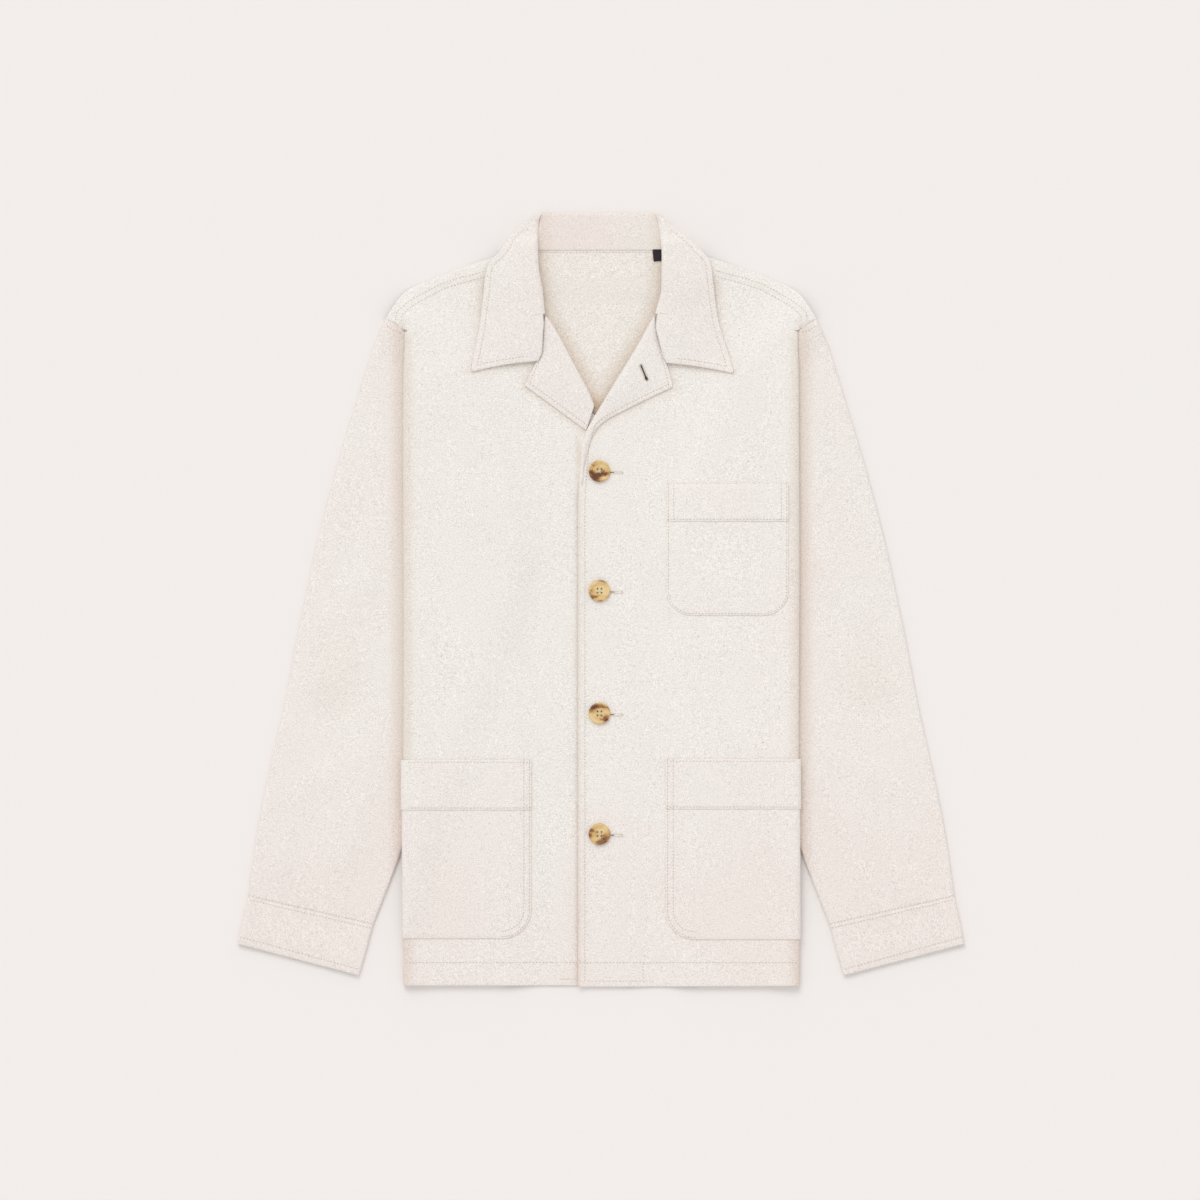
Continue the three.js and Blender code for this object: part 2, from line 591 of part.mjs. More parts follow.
// Half collar along the roll line: the fall outside, the roll, and the stand leg under it
function collarSide(rows, side) {
  const topSteps = 5;
  const turnSteps = 5;
  const halfWall = DOUBLE_WALL / 2;
  const place = (station, step, out) => {
    const row = rows[station];
    const width = Math.hypot(row.edgeX - row.rollX, row.edgeY - row.rollY);
    const share = clamp01((width - 6) / 24);
    const radius = COLLAR_BACK_RADIUS + (COLLAR_ROLL_RADIUS - COLLAR_BACK_RADIUS) * share;
    const start = Math.min(radius + halfWall, width * 0.55);
    const leg = start + Math.min(STAND_LENGTH, 0.35 * width);
    const standRise = clamp01((row.rollY - 348) / 8);
    const standFloor = collarFloor(row.rollX, row.rollY) * (1 - standRise)
      + (DOUBLE_WALL + SEAM_GAP) * standRise;
    const standMid = (x, y) => halfWall
      + (row.rollY > 336 ? standFloor : Math.max(standFloor, collarFloor(x, y)));
    if (step <= topSteps) {
      const fraction = step / topSteps;
      const [x, y] = fromRoll(row, width + (start - width) * fraction);
      const edgeMid = collarFloor(x, y) + halfWall;
      const centre = fromRoll(row, start);
      const rollMid = standMid(...centre) + 2 * radius;
      const rise = Math.sin((Math.PI / 2) * fraction) ** 1.6;
      return [x, y, edgeMid + Math.max(0, rollMid - edgeMid) * rise + out];
    }
    if (step <= topSteps + turnSteps) {
      const angle = (Math.PI * (step - topSteps)) / turnSteps;
      const [x, y] = fromRoll(row, start - (radius + out) * Math.sin(angle));
      const centre = fromRoll(row, start);
      return [x, y, standMid(...centre) + radius + (radius + out) * Math.cos(angle)];
    }
    const [x, y] = fromRoll(row, leg);
    return [x, y, standMid(x, y) - out];
  };
  const wall = gridWall(rows.length - 1, topSteps + turnSteps + 1, place, -halfWall, halfWall);
  return side > 0 ? wall : flipped(wall);
}

// Lower fall, which lies from the gorge seam to the collar point
function fallEnd(rows, side, rollRow) {
  const steps = 5;
  const halfWall = DOUBLE_WALL / 2;
  const width = Math.hypot(rollRow.edgeX - rollRow.rollX, rollRow.edgeY - rollRow.rollY);
  const rollRise = 2 * COLLAR_ROLL_RADIUS;
  const place = (station, step, out) => {
    const row = rows[station];
    const fraction = step / steps;
    const x = row.outerX + (row.innerX - row.outerX) * fraction;
    const sag = row.bow * Math.sin(Math.PI * fraction);
    const y = row.outerY + (row.innerY - row.outerY) * fraction + sag;
    const inner = 1 - clamp01((COLLAR_ROLL_RADIUS + halfWall) / width) * (station === 0 ? 1 : 0);
    const reach = Math.min(fraction, inner);
    const fade = 1 - 0.55 * (station / (rows.length - 1));
    const rise = rollRise * fade * Math.sin((Math.PI / 2) * reach) ** 1.6;
    return [x, y, collarFloor(x, y) + halfWall + rise + out];
  };
  const wall = gridWall(rows.length - 1, steps, place, -halfWall, halfWall);
  return side > 0 ? wall : flipped(wall);
}

// Turn of the collar over the shoulder outline, from the fall in front to the fall behind
function collarWrap(rows, side) {
  const halfWall = DOUBLE_WALL / 2;
  const turnSteps = 4;
  const leg = 5;
  const place = (station, step, out) => {
    const row = rows[station];
    const width = Math.hypot(row.edgeX - row.rollX, row.edgeY - row.rollY);
    const upper = collarFloor(row.edgeX, row.edgeY) + halfWall;
    const radius = (upper - halfWall) / 2;
    const start = radius + halfWall;
    const angle = Math.PI * clamp01((step - 1) / turnSteps);
    const inward = step === 0 || step === turnSteps + 2 ? leg : 0;
    const [x, y] = fromRoll(row, width - start - inward + (radius + out) * Math.sin(angle));
    return [x, y, halfWall + radius + (radius + out) * Math.cos(angle)];
  };
  const wall = gridWall(rows.length - 1, turnSteps + 2, place, -halfWall, halfWall);
  return side > 0 ? wall : flipped(wall);
}

// Back of the collar: the inner band above the neck seam, the top fold and the fall behind
function collarBack() {
  const halfWall = DOUBLE_WALL / 2;
  const turnSteps = 4;
  const radius = COLLAR_BACK_RADIUS;
  const start = COLLAR_TOP_Y - radius - halfWall;
  const bandFloor = DOUBLE_WALL + SEAM_GAP;
  const bandColumns = [-64, -32, 0, 30, 61];
  const fallEnd = [329, 325, 325, 325, 329];
  const place = (column, step, out) => {
    const x = bandColumns[column];
    if (step === 0) return [x, NECK_SEAM_Y + SEAM_GAP, bandFloor + halfWall + out];
    if (step > turnSteps + 1) return [x, fallEnd[column], halfWall - out];
    const angle = (Math.PI * (step - 1)) / turnSteps;
    const y = start + (radius + out) * Math.sin(angle);
    return [x, y, halfWall + radius + (radius + out) * Math.cos(angle)];
  };
  return gridWall(bandColumns.length - 1, turnSteps + 2, place, -halfWall, halfWall);
}

// Flat stretch of the fall behind, out to the wraps on both sides
function fallBehind() {
  const inset = (rows) => rows.slice(0, 5).map((row) => {
    const width = Math.hypot(row.edgeX - row.rollX, row.edgeY - row.rollY);
    return fromRoll(row, Math.max(width - 5.5, width * 0.3));
  });
  const outline = [[-50, 371], [50, 371], ...inset(COLLAR_LEFT_SIDE), [92, 325], [0, 324]];
  outline.push([-92, 325], ...inset(COLLAR_RIGHT_SIDE).reverse());
  const place = (x, y, out) => [x, y, DOUBLE_WALL / 2 + out];
  return clothWall(outline, [], [], place, -DOUBLE_WALL / 2, DOUBLE_WALL / 2);
}

function collar() {
  const wrapped = (rows) => rows.slice(0, 5);
  return joined([
    collarBack(),
    fallBehind(),
    collarSide(COLLAR_RIGHT_SIDE, 1),
    collarSide(COLLAR_LEFT_SIDE, -1),
    collarWrap(wrapped(COLLAR_RIGHT_SIDE), -1),
    collarWrap(wrapped(COLLAR_LEFT_SIDE), 1),
    fallEnd(FALL_RIGHT_END, 1, COLLAR_RIGHT_SIDE[COLLAR_RIGHT_SIDE.length - 1]),
    fallEnd(FALL_LEFT_END, -1, COLLAR_LEFT_SIDE[COLLAR_LEFT_SIDE.length - 1]),
  ]);
}

// Point on the armhole seam at a share of its length
function alongArmhole(share) {
  const lengths = ARMHOLE.slice(1).map((b, k) => Math.hypot(b.x - ARMHOLE[k].x, b.y - ARMHOLE[k].y));
  let left = share * lengths.reduce((sum, length) => sum + length, 0);
  let k = 0;
  while (k < lengths.length - 1 && left > lengths[k]) {
    left -= lengths[k];
    k += 1;
  }
  const part = clamp01(left / lengths[k]);
  return [
    ARMHOLE[k].x + (ARMHOLE[k + 1].x - ARMHOLE[k].x) * part,
    ARMHOLE[k].y + (ARMHOLE[k + 1].y - ARMHOLE[k].y) * part,
  ];
}

// Flattened tube of cloth through a table of sections, with round turns at both edges
function flatTube(sections, height, side) {
  const ring = [];
  const across = SLEEVE_ACROSS_STEPS;
  const turn = SLEEVE_END_STEPS;
  for (let k = 0; k <= across; k += 1) ring.push({ share: k / across, angle: 90 });
  for (let k = 1; k < turn; k += 1) ring.push({ share: 1, angle: 90 - (180 * k) / turn });
  for (let k = 0; k <= across; k += 1) ring.push({ share: 1 - k / across, angle: -90 });
  for (let k = 1; k < turn; k += 1) ring.push({ share: 0, angle: -90 - (180 * k) / turn });
  const outerRadius = height / 2;
  const innerRadius = outerRadius - WALL;
  const tip = ARMHOLE[0];
  const underarm = ARMHOLE[ARMHOLE.length - 1];
  const pointAt = (section, { share, angle }, radius) => {
    const dx = section.innerX - section.outerX;
    const dy = section.innerY - section.outerY;
    const width = Math.hypot(dx, dy);
    const turned = (angle * Math.PI) / 180;
    const along = outerRadius + share * (width - 2 * outerRadius) + radius * Math.cos(turned);
    const [seamX, seamY] = alongArmhole(clamp01(along / width));
    const chord = clamp01(along / width);
    const chordX = tip.x + (underarm.x - tip.x) * chord;
    const chordY = tip.y + (underarm.y - tip.y) * chord;
    const x = section.outerX + (dx * along) / width + section.bow * (seamX - chordX);
    const y = section.outerY + (dy * along) / width + section.bow * (seamY - chordY);
    return [side * x, y, outerRadius + radius * Math.sin(turned)];
  };
  const points = [];
  const count = ring.length;
  const addRings = (radius) => sections.forEach((section) => {
    ring.forEach((step) => points.push(pointAt(section, step, radius)));
  });
  addRings(outerRadius);
  addRings(innerRadius);
  const inner = sections.length * count;
  const faces = [];
  const quad = (a, b, c, d) => faces.push([a, b, c], [a, c, d]);
  for (let k = 0; k < count; k += 1) {
    const next = (k + 1) % count;
    for (let row = 0; row < sections.length - 1; row += 1) {
      const here = row * count;
      const below = here + count;
      quad(here + k, below + k, below + next, here + next);
      quad(inner + here + k, inner + here + next, inner + below + next, inner + below + k);
    }
    const last = (sections.length - 1) * count;
    quad(k, next, inner + next, inner + k);
    quad(last + k, inner + last + k, inner + last + next, last + next);
  }
  const tube = solidFromFaces(points, faces);
  return side > 0 ? flipped(tube) : tube;
}

// Patch pocket with round lower corners, laid on the front's own wall
function pocketOutline({ left, right, top, bottom, corner }, raised) {
  const cornerSteps = 5;
  const arc = (centreX, startAngle) => Array.from({ length: cornerSteps + 1 }, (_, k) => {
    const angle = startAngle + (k * Math.PI) / 2 / cornerSteps;
    return [centreX + corner * Math.cos(angle), bottom + corner + corner * Math.sin(angle)];
  });
  const atFold = Math.max(Math.abs(left), Math.abs(right)) > TURN_X;
  const rim = TURN_X + TURN_LENGTH / 2;
  const outer = (x) => (atFold && Math.abs(x) > TURN_X ? Math.sign(x) * rim : x);
  const lowerLeft = left < -TURN_X ? [[outer(left), bottom]] : arc(left + corner, Math.PI);
  const lowerRight = right > TURN_X ? [[outer(right), bottom]] : arc(right - corner, 1.5 * Math.PI);
  return [[outer(left), top - raised], ...lowerLeft, ...lowerRight, [outer(right), top - raised]];
}

function addPocket(pocket) {
  const floor = pocket.left < 0 ? rightFrontFloor : leftFrontFloor;
  const place = bodyLayer(floor, 0);
  const on = HALF_WALL + SEAM_GAP;
  const patch = clothWall(pocketOutline(pocket, 0.6), CLOTH_COLUMNS, ROWS, place, on, on + WALL);
  addMesh(pocket.name, patch, 'cloth');
  const edges = pocketOutline(pocket, 0);
  const left = edges[0][0];
  const right = edges[edges.length - 1][0];
  const low = pocket.top - pocket.bandHeight;
  const band = [[left, pocket.top], [left, low], [right, low], [right, pocket.top]];
  const over = on + LAYER;
  addMesh(`${pocket.name}_band`, clothWall(band, CLOTH_COLUMNS, ROWS, place, over, over + WALL), 'cloth');
}

// Horn button: raised rim, sunk middle, four holes
function button(y) {
  const seat = leftFrontFloor(BUTTON_X, y) + WALL + SEAM_GAP;
  const profile = [
    [0, 0], [8.2, 0], [BUTTON_RADIUS, 1.4], [BUTTON_RADIUS, 2.6],
    [9.4, 3.5], [7.6, 3.2], [6.6, 2.4], [0, 2.2],
  ].map(([radius, height]) => new THREE.Vector2(radius, height));
  const body = new THREE.LatheGeometry(profile, 18);
  body.rotateX(Math.PI / 2);
  let solid = toManifold(body);
  [-1, 1].forEach((across) => [-1, 1].forEach((up) => {
    const hole = new THREE.CylinderGeometry(BUTTON_HOLE_RADIUS, BUTTON_HOLE_RADIUS, 8, 6);
    hole.rotateX(Math.PI / 2);
    hole.translate(across * BUTTON_HOLE_SPACING, up * BUTTON_HOLE_SPACING, 1);
    solid = solid.subtract(toManifold(hole));
  }));
  const geometry = fromManifold(solid);
  geometry.translate(BUTTON_X, y, seat);
  return geometry;
}

function neckLabel() {
  const { left, right, top, bottom, thickness } = LABEL;
  const outline = [[left + 1, bottom], [right, bottom + 1], [right, top], [left, top]];
  const place = (x, y, out) => [x, y, backFloor(x, y) + LAYER + out];
  return clothWall(outline, COLUMNS, ROWS, place, 0, thickness);
}

addMesh('back', backPanel(), 'cloth');
addMesh('front_right', rightFront(), 'cloth');
addMesh('front_left', leftFront(), 'cloth');
addMesh('sleeve_right', flatTube(SLEEVE_SECTIONS, SLEEVE_HEIGHT, -1), 'cloth');
addMesh('sleeve_left', flatTube(SLEEVE_SECTIONS, SLEEVE_HEIGHT, 1), 'cloth');
addMesh('cuff_right', flatTube(CUFF_SECTIONS, CUFF_HEIGHT, -1), 'cloth');
addMesh('cuff_left', flatTube(CUFF_SECTIONS, CUFF_HEIGHT, 1), 'cloth');
addMesh('lapel_right', lapel(LAPEL_RIGHT, rightFrontFloor, 1), 'cloth');
addMesh('lapel_left', lapel(LAPEL_LEFT, leftFrontFloor, -1), 'cloth');
addMesh('collar', collar(), 'cloth');
POCKETS.forEach(addPocket);
addMesh('neck_label', neckLabel(), 'label');
BUTTON_ROWS.forEach((y, index) => addMesh(`button_${index + 1}`, button(y), 'horn'));

export default jacket;
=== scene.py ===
"""Ecru chore jacket laid flat, front side up: soft cloth, stitching and horn buttons.

Sizes are in millimetres on the table, X to the viewer's right and Y towards the collar.
Meshes are written in metres.
"""

import json
import logging
import math
from dataclasses import dataclass
from enum import Enum
from typing import Callable, Sequence

import bpy
import numpy as np
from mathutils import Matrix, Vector
from mathutils.bvhtree import BVHTree

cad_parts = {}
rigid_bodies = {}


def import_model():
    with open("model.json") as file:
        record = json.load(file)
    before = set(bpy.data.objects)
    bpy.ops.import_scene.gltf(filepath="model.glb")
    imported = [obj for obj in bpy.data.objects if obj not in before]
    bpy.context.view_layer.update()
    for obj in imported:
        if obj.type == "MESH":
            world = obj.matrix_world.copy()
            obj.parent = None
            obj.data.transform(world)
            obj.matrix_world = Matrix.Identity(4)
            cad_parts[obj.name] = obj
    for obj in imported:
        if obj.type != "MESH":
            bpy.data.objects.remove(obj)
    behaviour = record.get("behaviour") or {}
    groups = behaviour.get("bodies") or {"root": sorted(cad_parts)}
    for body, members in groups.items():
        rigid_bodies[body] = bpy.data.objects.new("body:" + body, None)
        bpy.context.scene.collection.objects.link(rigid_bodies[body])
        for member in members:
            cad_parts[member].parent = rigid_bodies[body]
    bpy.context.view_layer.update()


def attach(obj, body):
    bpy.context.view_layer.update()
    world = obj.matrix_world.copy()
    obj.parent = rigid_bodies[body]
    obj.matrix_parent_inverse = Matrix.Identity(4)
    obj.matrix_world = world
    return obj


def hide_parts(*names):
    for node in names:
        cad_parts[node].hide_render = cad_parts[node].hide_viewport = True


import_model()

LOG = logging.getLogger("jacket")
MM = 0.001
WALL = 1.2
DOUBLE_WALL = 2.4
SEAM_GAP = 0.3
LAYER = WALL + SEAM_GAP
HEM_Y = -377.0
NECK_SEAM_Y = 342.0
COLLAR_TOP_Y = 377.5
FOLD_X = 192.3
SIDE_SEAM_X = 95.0
FRONT_EDGE_X = -22.0
UNDER_FRONT_EDGE_X = 22.0
FRONT_TURN_RADIUS = 2.55
BACK_TURN_RADIUS = 1.05
TURN_X = FOLD_X - FRONT_TURN_RADIUS - WALL / 2
TURN_LENGTH = 8.0
FOLD_TOP_Y = 262.4
SLEEVE_HEIGHT = 4.8
GRID = 5.0
FRONT_FINENESS = 0.64
# Most painted shade, darker colour standing in for shadow, that any point of cloth may take
DEEPEST_PAINTED_SHADE = 2.6
FAR_BELOW = -800.0

Points = np.ndarray
Height = Callable[[Points, Points], Points]
Place = Callable[[Points], Points]

# Armhole seam of one side, from the shoulder tip down to the underarm
ARMHOLE = [(211, 273), (204.5, 269.8), (192.3, 263.5), (172, 247), (150, 218), (130, 180),
           (113, 135), (101, 90), (SIDE_SEAM_X, 53)]
# Where the body covers the sleeve, and the seam line at the shoulder tip
UNDER_BODY = [*ARMHOLE[2:], (SIDE_SEAM_X, FAR_BELOW), (FOLD_X, FAR_BELOW)]
SHOULDER_TIP = [(214, 274), (198, 261)]


class Side(Enum):
    """The two halves as the viewer sees them, with the sign of X."""

    LEFT = -1
    RIGHT = 1


def smooth(distance: Points, width: float) -> Points:
    """Fall softly from 1 at distance 0 to 0 at width.

    Args:
        distance: Distances in mm.
        width: Where the fall ends.
    Returns:
        Values from 0 to 1.
    """
    return 0.5 + 0.5 * np.cos(np.pi * np.clip(distance / width, 0, 1))


def distance_outside(region: Sequence[tuple[float, float]], x: Points, y: Points) -> Points:
    """Distance from points to a closed region of the table, 0 inside it.

    Args:
        region: Corners of the region.
        x: X of the points.
        y: Y of the points.
    Returns:
        Distances in mm.
    """
    inside = np.zeros(x.shape, bool)
    for (ax, ay), (bx, by) in zip(region, [*region[1:], region[0]]):
        if by != ay:
            inside ^= ((ay > y) != (by > y)) & (x < ax + (y - ay) / (by - ay) * (bx - ax))
    return np.where(inside, 0.0, path_distance([*region, region[0]], x, y))


@dataclass(frozen=True)
class Crease:
    """One soft trough or ridge in the cloth, drawn as a line that fades at both ends."""

    start: tuple[float, float]
    end: tuple[float, float]
    width: float
    height: float

    def lift(self, x: Points, y: Points) -> Points:
        """Height that this crease adds.

        Args:
            x: X of the points.
            y: Y of the points.
        Returns:
            Heights in mm, below 0 in a trough.
        """
        (ax, ay), (bx, by) = self.start, self.end
        dx, dy = bx - ax, by - ay
        along = ((x - ax) * dx + (y - ay) * dy) / (dx * dx + dy * dy)
        reach = np.clip(along, 0, 1)
        across = np.hypot(x - ax - reach * dx, y - ay - reach * dy)
        fade = np.sin(np.pi * np.clip(along * 0.9 + 0.05, 0, 1)) ** 0.5
        return self.height * fade * np.exp(-((across / self.width) ** 2))


@dataclass(frozen=True)
class Drape:
    """Heights of the body's layers over what lies under them."""

    sleeve_slope: float = 44.0
    turn_slope: float = 34.0
    collar_slope: float = 34.0
    lap_slope: float = 30.0
    fold_puff: float = 2.4
    edge_puff: float = 1.9
    creases: tuple[Crease, ...] = (
        Crease((-150, 150), (-70, 20), 26, 1.3),
        Crease((-165, 60), (-60, -60), 30, -1.2),
        Crease((-172, 232), (-120, 140), 19, 1.5),
        Crease((-100, -60), (-45, -150), 28, 0.7),
        Crease((-150, -120), (-90, -140), 20, -0.6),
        Crease((150, 190), (80, 130), 22, 0.8),
        Crease((168, 238), (132, 160), 16, -0.9),
        Crease((120, -40), (40, -130), 30, 1.3),
        Crease((150, -60), (70, -100), 26, -1.1),
        Crease((36, 60), (44, -110), 20, 0.6),
        Crease((-30, -240), (-40, -350), 16, 0.7),
        Crease((30, -250), (38, -360), 16, -0.6),
        Crease((-30, 320), (20, 250), 20, 0.7),
    )

    def sleeve(self, x: Points, y: Points) -> Points:
        """Lift off the sleeves.

        Args:
            x: X of the points.
            y: Y of the points.
        Returns:
            Heights in mm.
        """
        region = [*ARMHOLE, CUFF_SECTIONS[-1][2:4], CUFF_SECTIONS[-1][:2]]
        return (SLEEVE_HEIGHT + SEAM_GAP) * smooth(
            distance_outside(region, np.abs(x), y) - 9, self.sleeve_slope)

    def turned(self, x: Points, y: Points) -> Points:
        """Lift off the sides that are turned under.

        Args:
            x: X of the points.
            y: Y of the points.
        Returns:
            Heights in mm.
        """
        region = [*ARMHOLE[2:], (SIDE_SEAM_X, FAR_BELOW), (400, FAR_BELOW), (400, 263.5)]
        stack = FRONT_TURN_RADIUS + BACK_TURN_RADIUS
        cap = smooth(np.abs(x) - TURN_X, 14)
        return stack * smooth(distance_outside(region, np.abs(x), y) - 3, self.turn_slope) * cap

    def collar(self, x: Points, y: Points) -> Points:
        """Lift off the collar's fall behind the neck.

        Args:
            x: X of the points.
            y: Y of the points.
        Returns:
            Heights in mm.
        """
        region = [(-1, 316), (102, 316), (108, 334), (108, -FAR_BELOW), (-1, -FAR_BELOW)]
        return (DOUBLE_WALL + SEAM_GAP) * smooth(
            distance_outside(region, np.abs(x), y), self.collar_slope)

    def ripple(self, x: Points, y: Points) -> Points:
        """Creases and slow waves of the cloth where it lies free.

        Args:
            x: X of the points.
            y: Y of the points.
        Returns:
            Heights in mm.
        """
        total = sum(crease.lift(x, y) for crease in self.creases)
        waves = 0.22 * np.sin(x / 31 + y / 57) * np.cos(y / 43 - x / 90)
        inside = smooth(np.abs(x) - 150, 38) * smooth(HEM_Y + 30 - y, 26)
        return np.maximum(total + waves + 0.25, 0.0) * inside

    def puff(self, x: Points, y: Points) -> Points:
        """Rise of the fronts towards the side folds, at points x, y."""
        uneven = 1 + 0.25 * np.sin(y / 61 + np.sign(x))
        return self.fold_puff * uneven * smooth(TURN_X - np.abs(x), 34) * smooth(y - 205, 50)

    def strip(self, x: Points, y: Points) -> Points:
        """Underside of the turned strip."""
        return self.sleeve(x, y)

    def back(self, x: Points, y: Points) -> Points:
        """Underside of the back."""
        return self.sleeve(x, y) + self.turned(x, y) + self.collar(x, y)

    def right_front(self, x: Points, y: Points) -> Points:
        """Underside of the wearer's right front."""
        return self.back(x, y) + LAYER + self.ripple(x, y) + self.puff(x, y)

    def left_front(self, x: Points, y: Points) -> Points:
        """Underside of the wearer's left front, which closes over the other."""
        edge = self.edge_puff * smooth(np.abs(x - FRONT_EDGE_X), 9) * smooth(y - 150, 20)
        return self.right_front(x, y) + LAYER * smooth(x - UNDER_FRONT_EDGE_X, self.lap_slope) + edge

    def front_top(self, x: Points, y: Points) -> Points:
        """Upper face of whichever front shows."""
        return np.where(x < FRONT_EDGE_X, self.right_front(x, y), self.left_front(x, y)) + WALL


DRAPE = Drape()


@dataclass
class Sheet:
    """Middle surface of a piece of cloth: points, faces, and flat coordinates with the painted shade as
    third.
    """

    points: Points
    faces: list[tuple[int, ...]]
    flat: Points

    def __post_init__(self) -> None:
        """Start with no painted shade."""
        if self.flat.shape[1] == 2:
            self.flat = np.column_stack([self.flat, np.zeros(len(self.flat))])

    def with_painted_shade(self, tone: Height) -> "Sheet":
        """Give the cloth painted shade, a darker tone where it lies deep.

        Args:
            tone: Takes x and y and returns the painted shade, 0 where the cloth is plain, 1 or more where it
                is deep.
        Returns:
            The sheet itself.
        """
        self.flat[:, 2] = np.clip(tone(self.points[:, 0], self.points[:, 1]), 0, DEEPEST_PAINTED_SHADE)
        return self


def merged(sheets: Sequence[Sheet]) -> Sheet:
    """Put several sheets into one.

    Args:
        sheets: The sheets.
    Returns:
        One sheet with all their faces.
    """
    faces: list[tuple[int, ...]] = []
    start = 0
    for sheet in sheets:
        faces += [tuple(k + start for k in face) for face in sheet.faces]
        start += len(sheet.points)
    return Sheet(np.vstack([s.points for s in sheets]), faces, np.vstack([s.flat for s in sheets]))


def welded(sheet: Sheet, gap: float = 0.02) -> Sheet:
    """Join points that lie together.

    Args:
        sheet: The sheet.
        gap: Distance in mm under which two points are one.
    Returns:
        The joined sheet.
    """
    keys = np.round(sheet.points / gap).astype(int)
    _, first, inverse = np.unique(keys, axis=0, return_index=True, return_inverse=True)
    inverse = inverse.ravel()
    faces = [tuple(dict.fromkeys(inverse[k] for k in face)) for face in sheet.faces]
    return Sheet(sheet.points[first], [tuple(int(k) for k in face) for face in faces if len(face) > 2],
                 sheet.flat[first])


def clip(polygon: list[tuple[float, float]], a: float, b: float, c: float) -> list[tuple[float, float]]:
    """Keep the part of a polygon where a·x + b·y + c is not negative.

    Args:
        polygon: Corners.
        a: Factor of x.
        b: Factor of y.
        c: Constant.
    Returns:
        Corners of what is kept.
    """
    kept = []
    for (x0, y0), (x1, y1) in zip(polygon, [*polygon[1:], *polygon[:1]]):
        here, there = a * x0 + b * y0 + c, a * x1 + b * y1 + c
        if here >= 0:
            kept.append((x0, y0))
        if (here >= 0) != (there >= 0):
            along = here / (here - there)
            kept.append((x0 + along * (x1 - x0), y0 + along * (y1 - y0)))
    return kept


def cut_panel(outline: Sequence[tuple[float, float]], place: Place, step: float = GRID,
              lines: Sequence[float] = (), cuts: Sequence[float] = ()) -> Sheet:
    """Cut a panel from flat cloth along its outline, and lay it.

    Args:
        outline: Outline in flat coordinates.
        place: Takes flat points and returns their places on the table.
        step: Size of the mesh cells.
        lines: Extra columns, as in a fold.
        cuts: Extra rows.
    Returns:
        The laid panel.
    """
    shape = np.array(outline, float)
    turn = np.sum(shape[:, 0] * np.roll(shape[:, 1], -1) - shape[:, 1] * np.roll(shape[:, 0], -1))
    flat = [tuple(p) for p in (shape if turn > 0 else shape[::-1])]
    low, high = shape.min(0), shape.max(0)
    even = np.linspace(low[0], high[0], max(2, round((high[0] - low[0]) / step) + 1))
    near = [min((abs(value - line) for line in lines), default=np.inf) for value in even]
    columns = sorted([v for v, gap in zip(even, near) if gap > step * 0.3] + list(lines))
    columns = [v for v in columns if low[0] - step < v < high[0] + step]
    rows = sorted([*np.linspace(low[1], high[1], max(2, round((high[1] - low[1]) / step) + 1)), *cuts])
    index: dict[tuple[int, int], int] = {}
    points: list[tuple[float, float]] = []
    faces = []
    for x0, x1 in zip(columns, columns[1:]):
        strip = clip(clip(flat, 1, 0, -x0), -1, 0, x1)
        for y0, y1 in zip(rows, rows[1:]):
            cell = clip(clip(strip, 0, 1, -y0), 0, -1, y1)
            face = []
            for x, y in cell:
                key = (round(x * 1000), round(y * 1000))
                if key not in index:
                    index[key] = len(points)
                    points.append((x, y))
                if index[key] not in face:
                    face.append(index[key])
            if len(face) > 2:
                faces.append(tuple(face))
    flat_points = np.array(points)
    return Sheet(place(flat_points), faces, flat_points)


def body_layer(floor: Height, strips_below: int, out: float = 0.0) -> Place:
    """Place of a body layer: flat, round the side fold, then turned under.

    Args:
        floor: Underside of the layer where it lies on top.
        strips_below: How many turned strips lie under this one's own strip.
        out: Distance outwards from the layer's middle.
    Returns:
        The function that lays flat points.
    """

    def place(flat: Points) -> Points:
        """Lay flat points round the body.

        Args:
            flat: Flat coordinates.
        Returns:
            Points in mm.
        """
        s, y = flat[:, 0], flat[:, 1]
        side = np.where(s < 0, -1.0, 1.0)
        reach = np.abs(s)
        fold = side * TURN_X
        upper = floor(fold, y) + WALL / 2
        lower = DRAPE.strip(fold, y) + WALL / 2 + strips_below * LAYER
        angle = np.pi * np.clip((reach - TURN_X) / TURN_LENGTH, 0, 1)
        radius = (upper - lower) / 2 + out
        under = side * (2 * TURN_X + TURN_LENGTH - reach)
        reach = np.where(y > FOLD_TOP_Y, np.minimum(reach, TURN_X), reach)
        x = np.where(reach <= TURN_X, s, side * (TURN_X + radius * np.sin(angle)))
        x = np.where(reach > TURN_X + TURN_LENGTH, under, x)
        z = np.where(reach <= TURN_X, floor(s, y) + WALL / 2 + out,
                     (upper + lower) / 2 + radius * np.cos(angle))
        strip = DRAPE.strip(under, y) + WALL / 2 + strips_below * LAYER - out
        return np.stack([x, y, np.where(reach > TURN_X + TURN_LENGTH, strip, z)], 1)

    return place


def turned_under(x: float) -> float:
    """Flat coordinate of a point at x on the turned strip."""
    return 2 * TURN_X + TURN_LENGTH - x


FOLD_COLUMNS = [side * (TURN_X + TURN_LENGTH * k / 8) for side in (-1, 1) for k in range(9)]


